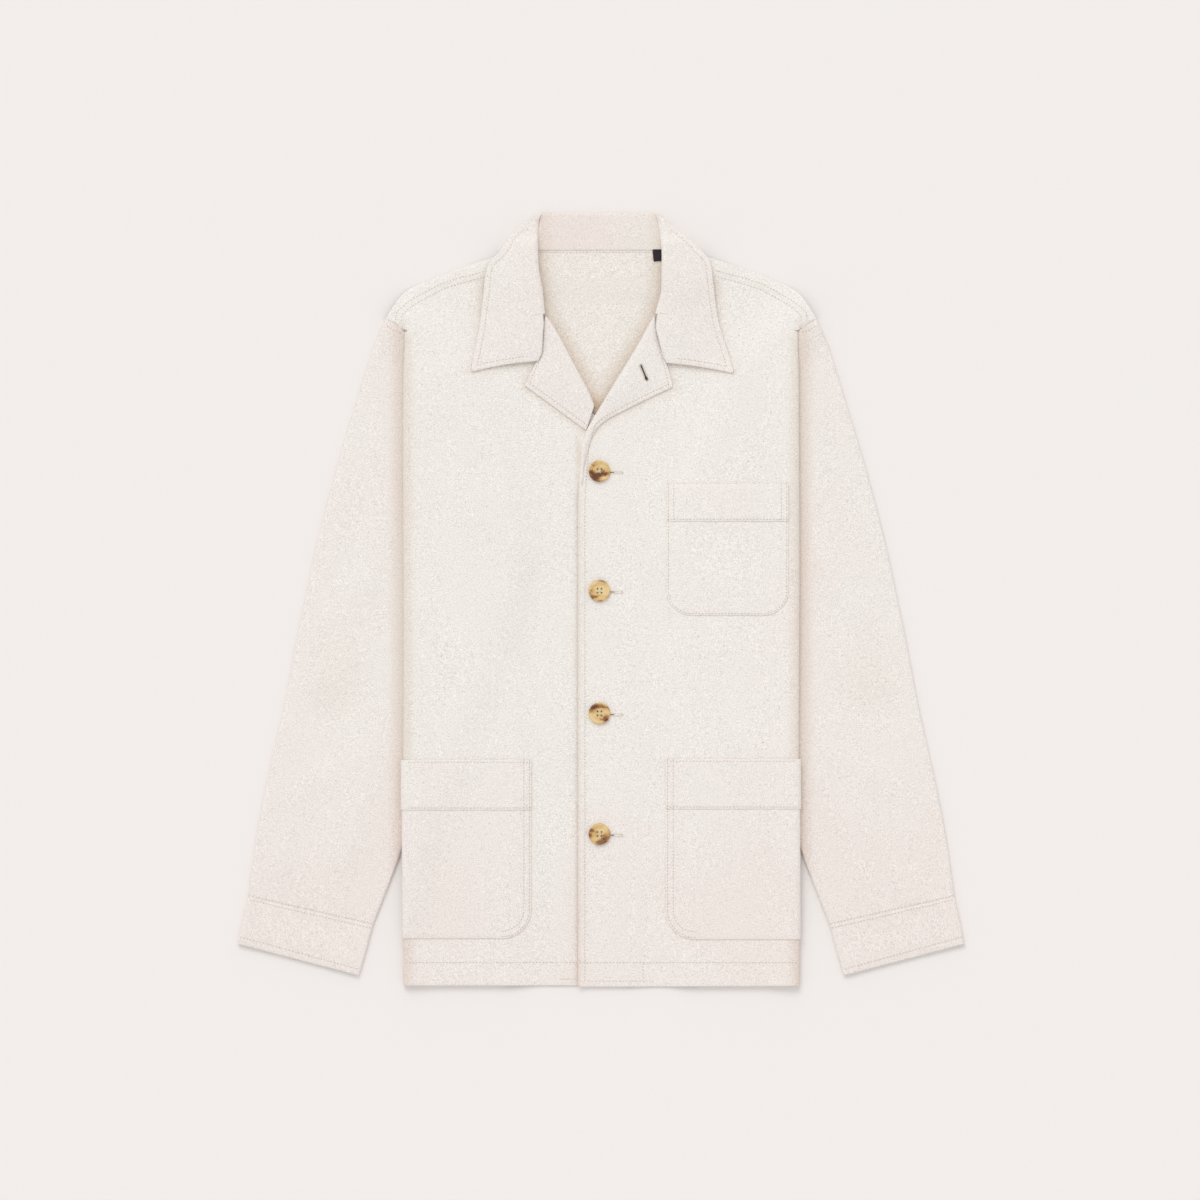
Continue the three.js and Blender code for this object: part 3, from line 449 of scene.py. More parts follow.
def thicken(sheet: Sheet, thickness: float, rounds: int = 4) -> tuple[Points, list[tuple[int, ...]], Points]:
    """Give a middle surface its thickness, with a round edge all along its rim.

    Args:
        sheet: Middle surface, its faces turned to the right side of the cloth.
        thickness: Thickness in mm.
        rounds: Steps round the edge.
    Returns:
        Points, faces, and flat coordinates of the points.
    """
    points = sheet.points
    normals = np.zeros_like(points)
    edges: dict[tuple[int, int], bool] = {}
    for face in sheet.faces:
        corner = points[list(face)]
        normals[list(face)] += np.cross(corner, np.roll(corner, -1, 0)).sum(0) \
            if len(face) == 3 else np.cross(corner[2] - corner[0], corner[-1] - corner[1])
        for a, b in zip(face, [*face[1:], face[0]]):
            edges[(a, b)] = True
    normals /= np.maximum(np.linalg.norm(normals, axis=1), 1e-9)[:, None]
    rim = [(a, b) for a, b in edges if (b, a) not in edges]
    outward = np.zeros_like(points)
    for a, b in rim:
        side = np.cross(points[b] - points[a], normals[a] + normals[b])
        side /= max(np.linalg.norm(side), 1e-9)
        outward[a] += side
        outward[b] += side
    outward /= np.maximum(np.linalg.norm(outward, axis=1), 1e-9)[:, None]
    half = thickness / 2
    count = len(points)
    border = sorted({k for edge in rim for k in edge})
    number = {k: n for n, k in enumerate(border)}
    sets = [points + normals * half, points - normals * half]
    for step in range(1, rounds):
        angle = math.pi * step / rounds
        sets.append((points + (normals * math.cos(angle) + outward * math.sin(angle)) * half)[border])
    faces = list(sheet.faces) + [tuple(k + count for k in reversed(face)) for face in sheet.faces]

    def ring(k: int, step: int) -> int:
        """Number of the point at a step round the edge.

        Args:
            k: Number of the point on the middle surface.
            step: Step round the edge, 0 on the upper face.
        Returns:
            Its number in the shell.
        """
        if step == 0:
            return k
        if step == rounds:
            return k + count
        return 2 * count + (step - 1) * len(border) + number[k]

    for a, b in rim:
        for step in range(rounds):
            faces.append((ring(b, step), ring(a, step), ring(a, step + 1), ring(b, step + 1)))
    flat = np.vstack([sheet.flat, sheet.flat] + [sheet.flat[border]] * (rounds - 1))
    return np.vstack(sets), faces, flat


def new_object(name: str, points: Points, faces: Sequence[tuple[int, ...]], flat: Points,
               material: bpy.types.Material) -> bpy.types.Object:
    """Make a smooth mesh object with its cloth coordinates as a UV map, in metres.

    Args:
        name: Name of the object.
        points: Points in mm.
        faces: Faces.
        flat: Flat coordinates of the points in mm.
        material: Its finish.
    Returns:
        The object, at the origin.
    """
    mesh = bpy.data.meshes.new(name)
    mesh.from_pydata((points * MM).tolist(), [], faces)
    mesh.polygons.foreach_set("use_smooth", [True] * len(mesh.polygons))
    corners = np.zeros(len(mesh.loops), int)
    mesh.loops.foreach_get("vertex_index", corners)
    layer = mesh.uv_layers.new(name="cloth")
    layer.data.foreach_set("uv", (flat[corners, :2] * MM).astype(np.float32).ravel())
    # The third flat column is painted shade, kept as the point attribute tone
    if flat.shape[1] > 2:
        tone = mesh.attributes.new("tone", "FLOAT", "POINT")
        tone.data.foreach_set("value", flat[:, 2].astype(np.float32))
    mesh.materials.append(material)
    mesh.validate()
    obj = bpy.data.objects.new(name, mesh)
    bpy.context.scene.collection.objects.link(obj)
    return obj


def cloth_object(name: str, sheet: Sheet, thickness: float,
                 material: bpy.types.Material) -> bpy.types.Object:
    """Make a piece of cloth from its middle surface.

    Args:
        name: Name of the object.
        sheet: Middle surface.
        thickness: Thickness in mm.
        material: Its finish.
    Returns:
        The object.
    """
    return new_object(name, *thicken(sheet, thickness), material)


def ruled(stations: int, steps: int, at: Callable[[Points, Points], Points], flip: bool,
          across: float, along: float, closed: bool = False) -> Sheet:
    """Grid of quads over two parameters.

    Args:
        stations: Cells along the piece.
        steps: Cells across the piece.
        at: Takes two arrays of parameters from 0 to 1 and returns points.
        flip: Turn the faces over.
        across: Flat size across, for the weave.
        along: Flat size along.
        closed: Join the last step to the first, as round a tube.
    Returns:
        The middle surface.
    """
    u, v = np.meshgrid(np.linspace(0, 1, stations + 1), np.linspace(0, 1, steps + 1), indexing="ij")
    points = at(u.ravel(), v.ravel())
    flat = np.stack([v.ravel() * across, -u.ravel() * along], 1)
    faces = []
    width = steps + 1
    for i in range(stations):
        for j in range(steps):
            a = i * width + j
            b = a + 1 if not (closed and j == steps - 1) else i * width
            face = (a, b, b + width, a + width)
            faces.append(tuple(reversed(face)) if flip else face)
    return Sheet(points, faces, flat)


def even_rows(rows: Sequence[tuple[float, ...]], count: int, corner: float = 32.0) -> Points:
    """Rows of a table at even steps, smoothed except at sharp corners of the outer edge.

    Args:
        rows: Rows of numbers, the last two the outer edge.
        count: How many steps are wanted.
        corner: Turn in degrees above which the edge stays sharp.
    Returns:
        The rows, count + 1 of them.
    """
    table = np.array(rows, float)
    edge = table[:, -2:]
    inner = np.linalg.norm(np.diff(table[:, :2], axis=0), axis=1)
    move = np.linalg.norm(np.diff(edge, axis=0), axis=1) + inner
    at = np.concatenate([[0], np.cumsum(move)]) / move.sum()
    heading = np.unwrap(np.arctan2(np.diff(edge[:, 1]), np.diff(edge[:, 0])))
    sharp = [at[k + 1] for k, turn in enumerate(np.diff(heading)) if abs(math.degrees(turn)) > corner]
    even = np.linspace(0, 1, count + 1)
    for value in sharp:
        even[np.argmin(np.abs(even - value))] = value
    fine = np.stack([np.interp(even, at, column) for column in table.T], 1)
    keep = np.array([any(abs(value - s) < 1e-9 for s in sharp) for value in even])
    for _ in range(max(2, count // 8)):
        soft = fine.copy()
        soft[1:-1] = (fine[:-2] + 2 * fine[1:-1] + fine[2:]) / 4
        soft[keep, -2:] = fine[keep, -2:]
        fine = soft
    return fine


def at_stations(rows: Points, u: Points) -> tuple[Points, Points, Points]:
    """Rows of a table at shares of its length.

    Args:
        rows: Rows of an inner line and an outer edge.
        u: Shares from 0 to 1.
    Returns:
        The rows, their widths and the directions across them.
    """
    row = rows[np.rint(u * (len(rows) - 1)).astype(int)]
    across = row[:, 2:] - row[:, :2]
    width = np.linalg.norm(across, axis=1)
    return row, width, across / width[:, None]


@dataclass(frozen=True)
class Fold:
    """Shares of a folded surface: the face that shows, the turn, then the leg that runs back."""

    face: float
    turn: float
    leg_from: float
    leg: float

    def on_face(self, v: Points) -> Points:
        """Share of the face that is passed at v."""
        return np.clip(v / self.face, 0, 1)

    def angle(self, v: Points) -> Points:
        """Angle of the turn at v, in radians."""
        return np.pi * np.clip((v - self.face) / self.turn, 0, 1)


STRIP_FOLD = Fold(0.4, 0.35, 0.75, 0.25)
LAPEL_FOLD = Fold(0.6, 0.3, 0.9, 0.1)
COLLAR_FOLD = Fold(0.55, 0.25, 0.8, 0.2)
BAND_FOLD = Fold(0.45, 0.15, 0.6, 0.4)
# Corner angle in degrees that no edge reaches, so that the whole edge is smoothed
NO_CORNERS = 200.0

# Forward shoulder seam: the outline of the shoulder (edge) and the seam in front of it
SHOULDER = [(67, 343, 73, 322), (105.5, 334, 111, 314), (136.5, 324, 138, 307), (156.5, 317, 155, 301.3),
            (173.5, 309.5, 170, 293.3), (186, 304.5, 184, 285.3), (196, 297, 193.3, 277.3),
            (203.5, 286, 194.3, 270.3), (210.5, 274, 198, 266.5)]

# Lapels: roll line (x, y), then the matching point of the outer edge
LAPEL_LEFT = [(51.2, 276.5, 53.6, 266), (48.2, 271, 56, 256), (42, 260, 60.4, 238), (35, 247.5, 65.8, 224),
              (26.5, 233.5, 70, 207.5), (15, 215, 52, 199.5), (5, 198.5, 30, 188.5), (-5, 182, 11, 179.5),
              (-12, 169.5, -1, 172), (-17.5, 158, -8.5, 163)]
LAPEL_RIGHT = [(-53.6, 276.5, -57.4, 263.5), (-49.5, 271, -58, 252), (-43.5, 262, -58.8, 239),
               (-36, 248.5, -68, 222.5), (-28.5, 234, -74.5, 208.5), (-20.5, 219, -51, 191.5),
               (-13, 205, -32, 177.5), (-7.5, 191, -15.5, 165.5)]
# Where the closing edge goes over into the lapel
LAPEL_TAIL = [(-19.1, 149, -11.8, 152), (-20.2, 138, -14.4, 140), (-20.9, 127, -16.3, 128),
              (-21.5, 112, -17.6, 112)]
LAPEL_LEG = 9.0
LAPEL_ROLL_RADIUS = 2.6


def lapel_width(row: Sequence[float]) -> float:
    """Width of the lapel at a row, less the seam allowance."""
    return math.hypot(row[2] - row[0], row[3] - row[1]) - 2


def from_roll(row: Sequence[float], distance: float) -> tuple[float, float]:
    """Point at a distance from the roll line towards the outer edge.

    Args:
        row: Roll point, then edge point.
        distance: Distance in mm.
    Returns:
        X and Y.
    """
    share = distance / math.hypot(row[2] - row[0], row[3] - row[1])
    return row[0] + (row[2] - row[0]) * share, row[1] + (row[3] - row[1]) * share


def front_side(side: int) -> list[tuple[float, float]]:
    """Outline of a front from the hem at the side seam up to the neck.

    Args:
        side: Sign of X.
    Returns:
        Corners in flat coordinates.
    """
    row_tip = SHOULDER[-1]
    outline = [(turned_under(SIDE_SEAM_X), HEM_Y)]
    outline += [(turned_under(x), y - 1) for x, y in reversed(ARMHOLE[3:])]
    outline += [(TURN_X + TURN_LENGTH, 261), (TURN_X + 0.01, 262), (TURN_X + 0.01, FOLD_TOP_Y + 0.2)]
    outline += [(FOLD_X, 263.6), (row_tip[2] - 0.4, row_tip[3] - 0.3)]
    outline += [(row[2] - 0.2, row[3] - 0.5) for row in reversed(SHOULDER[:8])]
    outline += [(68, 306), (66, 290)]
    return [(side * x, y) for x, y in outline]


def path_distance(path: Sequence[tuple[float, float]], x: Points, y: Points) -> Points:
    """Distance from points to an open path.

    Args:
        path: Its corners.
        x: X of the points.
        y: Y of the points.
    Returns:
        Distances in mm.
    """
    nearest = np.full(x.shape, np.inf)
    for (ax, ay), (bx, by) in zip(path, path[1:]):
        dx, dy = bx - ax, by - ay
        along = np.clip(((x - ax) * dx + (y - ay) * dy) / (dx * dx + dy * dy), 0, 1)
        nearest = np.minimum(nearest, np.hypot(x - ax - along * dx, y - ay - along * dy))
    return nearest


def front_painted_shade(x: Points, y: Points) -> Points:
    """Painted shade on the fronts beside the collar, the lapels and the closing edge, along the side folds
    and at the shoulder tips.

    Args:
        x: X of the points.
        y: Y of the points.
    Returns:
        Painted shade, 0 for none.
    """
    # Darker colour painted where the raised collar, lapels, closing edge and folds would cast shade
    total = np.zeros_like(x)
    for rows, end in ((COLLAR_RIGHT_SIDE, FALL_RIGHT_END), (COLLAR_LEFT_SIDE, FALL_LEFT_END)):
        outer = [(row[2], row[3]) for row in rows[4:]] + [(row[3], row[4]) for row in end[1:]]
        near = smooth(path_distance(outer, x, y), 13) * (0.3 + 0.7 * smooth(np.abs(y - 318), 62))
        low = 0.75 * smooth(path_distance([outer[-1], (end[-1][1], end[-1][2])], x, y), 7)
        total = np.maximum(total, np.maximum(near, low))
    for rows in (LAPEL_LEFT, LAPEL_RIGHT):
        edge = [(row[2], row[3]) for row in rows]
        total = np.maximum(total, 0.7 * smooth(path_distance(edge, x, y), 8))
    closing = 0.85 * smooth(np.abs(x - FRONT_EDGE_X + 1.0), 4.2) * smooth(y - 150, 20)
    fold = 0.85 * smooth(TURN_X + 3 - np.abs(x), 13) * smooth(y - 250, 16)
    tip = path_distance([(TURN_X + 3, 252), (196, 268), (204, 288)], np.abs(x), y)
    return np.maximum.reduce([total, closing, fold, 0.6 * smooth(tip - 1, 9)])


def neck_painted_shade(x: Points, y: Points) -> Points:
    """Painted shade inside the neck, deepest beside the roll lines and at the bottom of the V.

    Args:
        x: X of the points.
        y: Y of the points.
    Returns:
        Painted shade, 0 for none.
    """
    # Darker colour painted where the inner back lies deep under the collar and lapels
    near = np.zeros_like(x)
    for rows in (COLLAR_RIGHT_SIDE, COLLAR_LEFT_SIDE, LAPEL_LEFT, LAPEL_RIGHT):
        near = np.maximum(near, smooth(path_distance([(row[0], row[1]) for row in rows], x, y), 18))
    deep = 2.2 * smooth(np.hypot(x + 8, y - 183), 22)
    return 0.24 + 1.15 * near + deep


def sleeve_painted_shade(x: Points, y: Points) -> Points:
    """Painted shade on the sleeves beside the body's fold, and a faint broad painted shade at the elbow.

    Args:
        x: X of the points.
        y: Y of the points.
    Returns:
        Painted shade, 0 for none.
    """
    away = distance_outside(UNDER_BODY, np.abs(x), y)
    elbow = np.hypot((np.abs(x) - 262) / 46, (y + 76) / 66)
    return np.maximum(0.95 * smooth(away - 3, 15), 0.16 * smooth(elbow - 0.2, 0.8))


def band_painted_shade(x: Points, y: Points) -> Points:
    """Painted shade on the collar's inner band, deeper towards its ends beside the roll lines, at points x,
    y.
    """
    return 0.25 + 0.5 * smooth(58 - np.abs(x), 16)


@dataclass
class Body:
    """Back and the two fronts."""

    material: bpy.types.Material
    back_step: float = GRID
    strip_steps: int = 48
    strip_corner: float = 60

    def build(self) -> list[bpy.types.Object]:
        """Build the three panels."""
        return [self.back(), self.front(Side.LEFT), self.front(Side.RIGHT)]

    def back(self) -> bpy.types.Object:
        """Build the back with its forward shoulder strips.

        Returns:
            The back.
        """
        outline = [(turned_under(SIDE_SEAM_X), HEM_Y)]
        outline += [(turned_under(x), y - 1) for x, y in reversed(ARMHOLE[3:])]
        outline += [(TURN_X + TURN_LENGTH, 261), (TURN_X + 0.01, 262), (TURN_X - 1, 262), (TURN_X - 1, 292)]
        outline += [(row[0] - 1, row[1] - 3) for row in reversed(SHOULDER[:5])]
        outline += [(61, NECK_SEAM_Y)]
        outline += [(-x, y) for x, y in reversed(outline)]
        panel = cut_panel(outline, body_layer(DRAPE.back, 1), self.back_step, FOLD_COLUMNS).with_painted_shade(neck_painted_shade)
        obj = cloth_object("back_panel", merged([panel, self.strip(1), self.strip(-1)]), WALL, self.material)
        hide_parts("back")
        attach(obj, "root")
        return obj

    def strip(self, side: int) -> Sheet:
        """Shoulder strip of one side, turned over the shoulder's outline.

        Args:
            side: Sign of X.
        Returns:
            Its middle surface.
        """
        rows = even_rows(SHOULDER, self.strip_steps, self.strip_corner)
        radius, leg, fold = LAYER / 2, 9.0, STRIP_FOLD

        def at(u: Points, v: Points) -> Points:
            """Point of the middle surface.

            Args:
                u: Share along the shoulder.
                v: Share across, from the seam out to the turn and back under.
            Returns:
                Points in mm.
            """
            row = rows[np.rint(u * self.strip_steps).astype(int)]
            width = np.hypot(row[:, 2] - row[:, 0], row[:, 3] - row[:, 1])
            inward = (row[:, 2:] - row[:, :2]) / width[:, None]
            start = radius + WALL / 2
            angle = fold.angle(v)
            distance = np.where(v < fold.face, width + (start - width) * v / fold.face,
                                start - radius * np.sin(angle))
            distance = np.where(v > fold.leg_from, start + leg * (v - fold.leg_from) / fold.leg, distance)
            spot = row[:, :2] + inward * distance[:, None]
            x, y = side * spot[:, 0], spot[:, 1]
            height = np.where(v < fold.face, LAYER, radius + radius * np.cos(angle))
            soft = 0.6 * np.sin(np.pi * fold.on_face(v)) * (1 + 0.4 * np.sin(u * 23))
            return np.stack([x, y, DRAPE.back(x, y) + WALL / 2 + height + soft * (v < fold.face)], 1)

        return ruled(self.strip_steps, 20, at, side > 0, across=40, along=160)

    def front(self, side: Side) -> bpy.types.Object:
        """Build one front.

        Args:
            side: Which half.
        Returns:
            The panel.
        """
        left = side is Side.LEFT
        rows = LAPEL_RIGHT if left else LAPEL_LEFT
        outline = front_side(side.value)
        outline += [from_roll(row, min(LAPEL_LEG, lapel_width(row)) + SEAM_GAP) for row in rows]
        if left:
            outline += [(4, 172), (UNDER_FRONT_EDGE_X, 138), (UNDER_FRONT_EDGE_X, HEM_Y + 0.4)]
        else:
            outline += [(-19.3, 140), (-20.3, 120), (FRONT_EDGE_X, 97), (FRONT_EDGE_X, HEM_Y - 1)]
        floor = DRAPE.right_front if left else DRAPE.left_front
        sheet = cut_panel(outline, body_layer(floor, 0), GRID * FRONT_FINENESS, FOLD_COLUMNS, [FOLD_TOP_Y])
        sheet = sheet.with_painted_shade(front_painted_shade)
        wearer = "right" if left else "left"
        obj = cloth_object(f"front_panel_{wearer}", sheet, WALL, self.material)
        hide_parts(f"front_{wearer}")
        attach(obj, "root")
        return obj


SLEEVE_SECTIONS = [(211, 273, 95, 53, 1), (222, 248, 101, 35, 0.75), (234, 209, 108, 14, 0.5),
                   (246, 170, 119, -19, 0.25), (257.5, 131, 130, -52, 0.1), (268, 92, 141, -85, 0),
                   (278, 53, 151.5, -116, 0), (294.5, -25, 169, -168, 0), (309.5, -103, 185, -216, 0),
                   (327, -181, 200, -260, 0), (337, -232, 210.5, -287, 0), (345.3, -291, 222.8, -318, 0)]
CUFF_SEAM = [SLEEVE_SECTIONS[-1][:2], SLEEVE_SECTIONS[-1][2:4]]
CUFF_SECTIONS = [(345.4, -291.5, 223, -318.5, 0), (350.5, -314, 229.5, -343, 0), (355, -336, 236.5, -367, 0)]


@dataclass
class Sleeve:
    """One sleeve and its cuff: flattened tubes of cloth with soft creases on the upper face."""

    side: Side
    material: bpy.types.Material
    cuff_material: bpy.types.Material
    cuff_height: float = 5.2
    head_rise: float = 5.4
    pucker: float = 1.0
    cuff_settle: float = 1.4
    creases: tuple[Crease, ...] = (
        Crease((205, 60), (262, -20), 14, 1.6),
        Crease((196, 20), (250, -70), 13, -1.0),
        Crease((225, -40), (285, -90), 13, 1.5),
        Crease((215, -90), (292, -120), 15, -1.0),
        Crease((222, -150), (318, -200), 12, 1.2),
        Crease((236, -190), (262, -300), 13, 1.3),
        Crease((275, -180), (300, -285), 14, -0.9),
        Crease((300, -220), (326, -290), 9, 1.1),
        Crease((226, 190), (214, 90), 12, 1.2),
        Crease((243, 120), (238, 30), 11, -0.8),
    )

    @property
    def wearer(self) -> str:
        """Side as the wearer has it."""
        return "right" if self.side is Side.LEFT else "left"

    def along_armhole(self, share: Points) -> Points:
        """Points on the armhole seam at shares of its length.

        Args:
            share: Shares from 0 to 1.
        Returns:
            X and Y.
        """
        seam = np.array(ARMHOLE, float)
        lengths = np.linalg.norm(np.diff(seam, axis=0), axis=1)
        at = np.concatenate([[0], np.cumsum(lengths)]) / lengths.sum()
        return np.stack([np.interp(share, at, seam[:, 0]), np.interp(share, at, seam[:, 1])], 1)

    def tube(self, sections: Sequence[tuple[float, ...]], height: float, stations: int, swell: float,
             settle: float = 0.0) -> Sheet:
        """Middle surface of a flattened tube.

        Args:
            sections: Outer and inner edge with the share of the armhole's curve.
            height: Height of the tube.
            stations: Steps along it.
            swell: How much the creases lift its upper face.
            settle: How far the upper face sinks at the far end.
        Returns:
            The middle surface.
        """
        table = np.array(sections, float)
        move = np.linalg.norm(np.diff(table[:, :2], axis=0), axis=1)
        at = np.concatenate([[0], np.cumsum(move)]) / move.sum()
        fine = np.stack([np.interp(np.linspace(0, 1, stations + 1), at, c) for c in table.T], 1)
        for _ in range(6):
            fine[1:-1] = (fine[:-2] + 2 * fine[1:-1] + fine[2:]) / 4
        across, turn = 44, 6
        shares = np.concatenate([np.linspace(0, 1, across), np.ones(turn), np.linspace(1, 0, across),
                                 np.zeros(turn)])
        bend = 180 * np.arange(1, turn + 1) / (turn + 1)
        angles = np.concatenate([np.full(across, 90.0), 90 - bend, np.full(across, -90.0), -90 - bend])
        count = len(shares)
        outer = height / 2
        radius = outer - WALL / 2
        tip, underarm = np.array(ARMHOLE[0], float), np.array(ARMHOLE[-1], float)
        length = float(move.sum())

        def place(u: Points, v: Points) -> Points:
            """Point of the tube, u along it and v round it.

            Args:
                u: Share along it.
                v: Share round it.
            Returns:
                Points in mm.
            """
            row = fine[np.rint(u * stations).astype(int)]
            k = np.rint(v * count).astype(int) % count
            share, angle = shares[k], np.radians(angles[k])
            d = row[:, 2:4] - row[:, :2]
            width = np.linalg.norm(d, axis=1)
            along = outer + share * (width - 2 * outer) + radius * np.cos(angle)
            chord = np.clip(along / width, 0, 1)
            bow = self.along_armhole(chord) - (tip + (underarm - tip) * chord[:, None])
            spot = row[:, :2] + d * (along / width)[:, None] + row[:, 4:5] * bow
            x, y = spot[:, 0], spot[:, 1]
            free = 1 - smooth(distance_outside(UNDER_BODY, x, y) - 4, 30)
            rim = np.sin(np.pi * np.clip(share, 0, 1)) ** 0.6
            end = np.clip(np.minimum(u, 1 - u) * 14, 0, 1)
            lift = sum(c.lift(x, y) for c in self.creases) + 0.5 + 0.5 * np.sin(x / 17 + y / 29)
            head = smooth(path_distance(SHOULDER_TIP, x, y), 32) * smooth(194 - x, 4)
            across_mm = share * width
            pucker = np.sin(across_mm * 0.5 + 2.2 * np.sin(across_mm * 0.13 + self.side.value))
            pucker = pucker * smooth(path_distance(CUFF_SEAM, x, y), 17)
            up = np.maximum(lift, -0.6) * swell * free * rim * end + self.head_rise * swell * head
            up = up + self.pucker * (pucker + 0.4) * rim * (v < 0.5)
            up = up - settle * smooth((1 - u) * length, 16) * rim * (v < 0.5)
            up = up * np.clip(np.sin(angle), 0, 1)
            return np.stack([self.side.value * x, y, outer + radius * np.sin(angle) + up], 1)

        return ruled(stations, count, place, self.side is Side.RIGHT, across=320, along=length, closed=True)

    def build(self) -> list[bpy.types.Object]:
        """Build the sleeve and its cuff.

        Returns:
            The sleeve and the cuff.
        """
        tube = self.tube(SLEEVE_SECTIONS, SLEEVE_HEIGHT, 150, 1.0).with_painted_shade(sleeve_painted_shade)
        sleeve = cloth_object(f"sleeve_tube_{self.wearer}", tube, WALL, self.material)
        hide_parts(f"sleeve_{self.wearer}")
        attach(sleeve, "root")
        band = self.tube(CUFF_SECTIONS, self.cuff_height, 14, 0.3, self.cuff_settle)
        cuff = cloth_object(f"cuff_tube_{self.wearer}", band, WALL, self.cuff_material)
        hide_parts(f"cuff_{self.wearer}")
        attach(cuff, "root")
        return [sleeve, cuff]


@dataclass
class Lapel:
    """Turned lapel: facing and front as one double wall, rolled over."""

    side: Side
    material: bpy.types.Material
    stations: int = 60
    tail_sink: float = 3.4

    def build(self) -> bpy.types.Object:
        """Build the lapel.

        Returns:
            The lapel.
        """
        left = self.side is Side.LEFT
        rows = even_rows(LAPEL_RIGHT if left else LAPEL_LEFT + LAPEL_TAIL, self.stations)
        floor = DRAPE.right_front if left else DRAPE.left_front
        half, fold = DOUBLE_WALL / 2, LAPEL_FOLD

        def at(u: Points, v: Points) -> Points:
            """Point of the middle surface.

            Args:
                u: Share along the roll line.
                v: Share across, from the outer edge over the roll to the leg.
            Returns:
                Points in mm.
            """
            row, width, toward = at_stations(rows, u)
            leg = np.minimum(LAPEL_LEG, width - 2)
            share = np.clip((width - 12) / 22, 0, 1)
            radius = half + 0.2 + (LAPEL_ROLL_RADIUS - half - 0.2) * share
            start = np.minimum(radius + half, width - 1)
            top, angle = fold.on_face(v), fold.angle(v)
            distance = np.where(v < fold.face, width - half + (start - width + half) * top,
                                start - radius * np.sin(angle))
            end = np.maximum(leg, start + 0.5)
            distance = np.where(v > fold.leg_from, start + (end - start) * (v - fold.leg_from) / fold.leg,
                                distance)
            spot = row[:, :2] + toward * distance[:, None]
            x, y = spot[:, 0], spot[:, 1]
            base = floor(x, y) + half
            edge = floor(x, y) + WALL + SEAM_GAP + half
            rise = np.maximum(0, base + 2 * radius - edge) * np.sin(np.pi / 2 * top) ** 1.6
            middle = row[:, :2] + toward * start[:, None]
            turn = floor(middle[:, 0], middle[:, 1]) + half + radius + radius * np.cos(angle)
            soft = 0.5 * np.sin(np.pi * top) * (0.7 + 0.5 * np.sin(u * 11 + 1))
            z = np.where(v < fold.face, edge + rise + soft, np.where(v <= fold.leg_from, turn, base))
            sink = 0 if left else self.tail_sink * smooth(y - 118, 34)
            return np.stack([x, y, z - sink], 1)

        wearer = "right" if left else "left"
        sheet = ruled(self.stations, 34, at, not left, across=60, along=140)
        obj = cloth_object(f"lapel_turned_{wearer}", sheet, DOUBLE_WALL, self.material)
        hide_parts(f"lapel_{wearer}")
        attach(obj, "root")
        return obj


# Collar: roll line, then the matching point of the outer edge, from the top down to the gorge
COLLAR_RIGHT_SIDE = [(-58.7, 376.3, -61.7, 375.7), (-60.5, 372, -68, 372), (-61.5, 364, -79, 364),
                     (-61.7, 356, -88, 356), (-61.7, 348, -92.5, 347.5), (-61.7, 340, -98, 339),
                     (-61.2, 330, -107.5, 330.5), (-60.8, 321.7, -112, 320), (-56.9, 302, -114.5, 292.5),
                     (-55, 280, -118.4, 263)]
COLLAR_LEFT_SIDE = [(53.7, 376.3, 56.6, 375.7), (55, 372, 61.5, 372), (56, 364, 71, 364),
                    (57.3, 356, 81, 356), (58.4, 348, 90, 348), (59, 340, 98, 339.5), (59, 330, 106, 330),
                    (58.9, 320, 107.5, 318), (58.4, 300, 110, 294), (52.8, 280, 113.5, 271)]
# Lower fall: inner and outer end with the sag between them
FALL_RIGHT_END = [(0.0, -55, 280, -118.4, 263), (0.0, -58, 263, -121, 250), (0.6, -59.2, 240, -124, 236),
                  (1.6, -62.5, 233.8, -126.2, 223.5)]
FALL_LEFT_END = [(0.0, 52.8, 280, 113.5, 271), (0.0, 54.8, 263, 118.5, 254), (0.4, 61.6, 238, 125, 234.5),
                 (1.2, 64.3, 232, 128.5, 222)]
COLLAR_ROLL_RADIUS = 3.0
COLLAR_BACK_RADIUS = 1.35
COLLAR_REST = 0.5
STAND_LENGTH = 20.0


def collar_floor(x: Points, y: Points) -> Points:
    """Height of the collar over whatever it lies on.

    Args:
        x: X of the points.
        y: Y of the points.
    Returns:
        Heights in mm.
    """
    over = DOUBLE_WALL + SEAM_GAP + 2 * LAYER + COLLAR_REST
    blend = np.clip((336 - y) / 14, 0, 1)
    lying = np.maximum(DRAPE.front_top(x, y) + COLLAR_REST, over - 3)
    return over * (1 - blend) + lying * blend


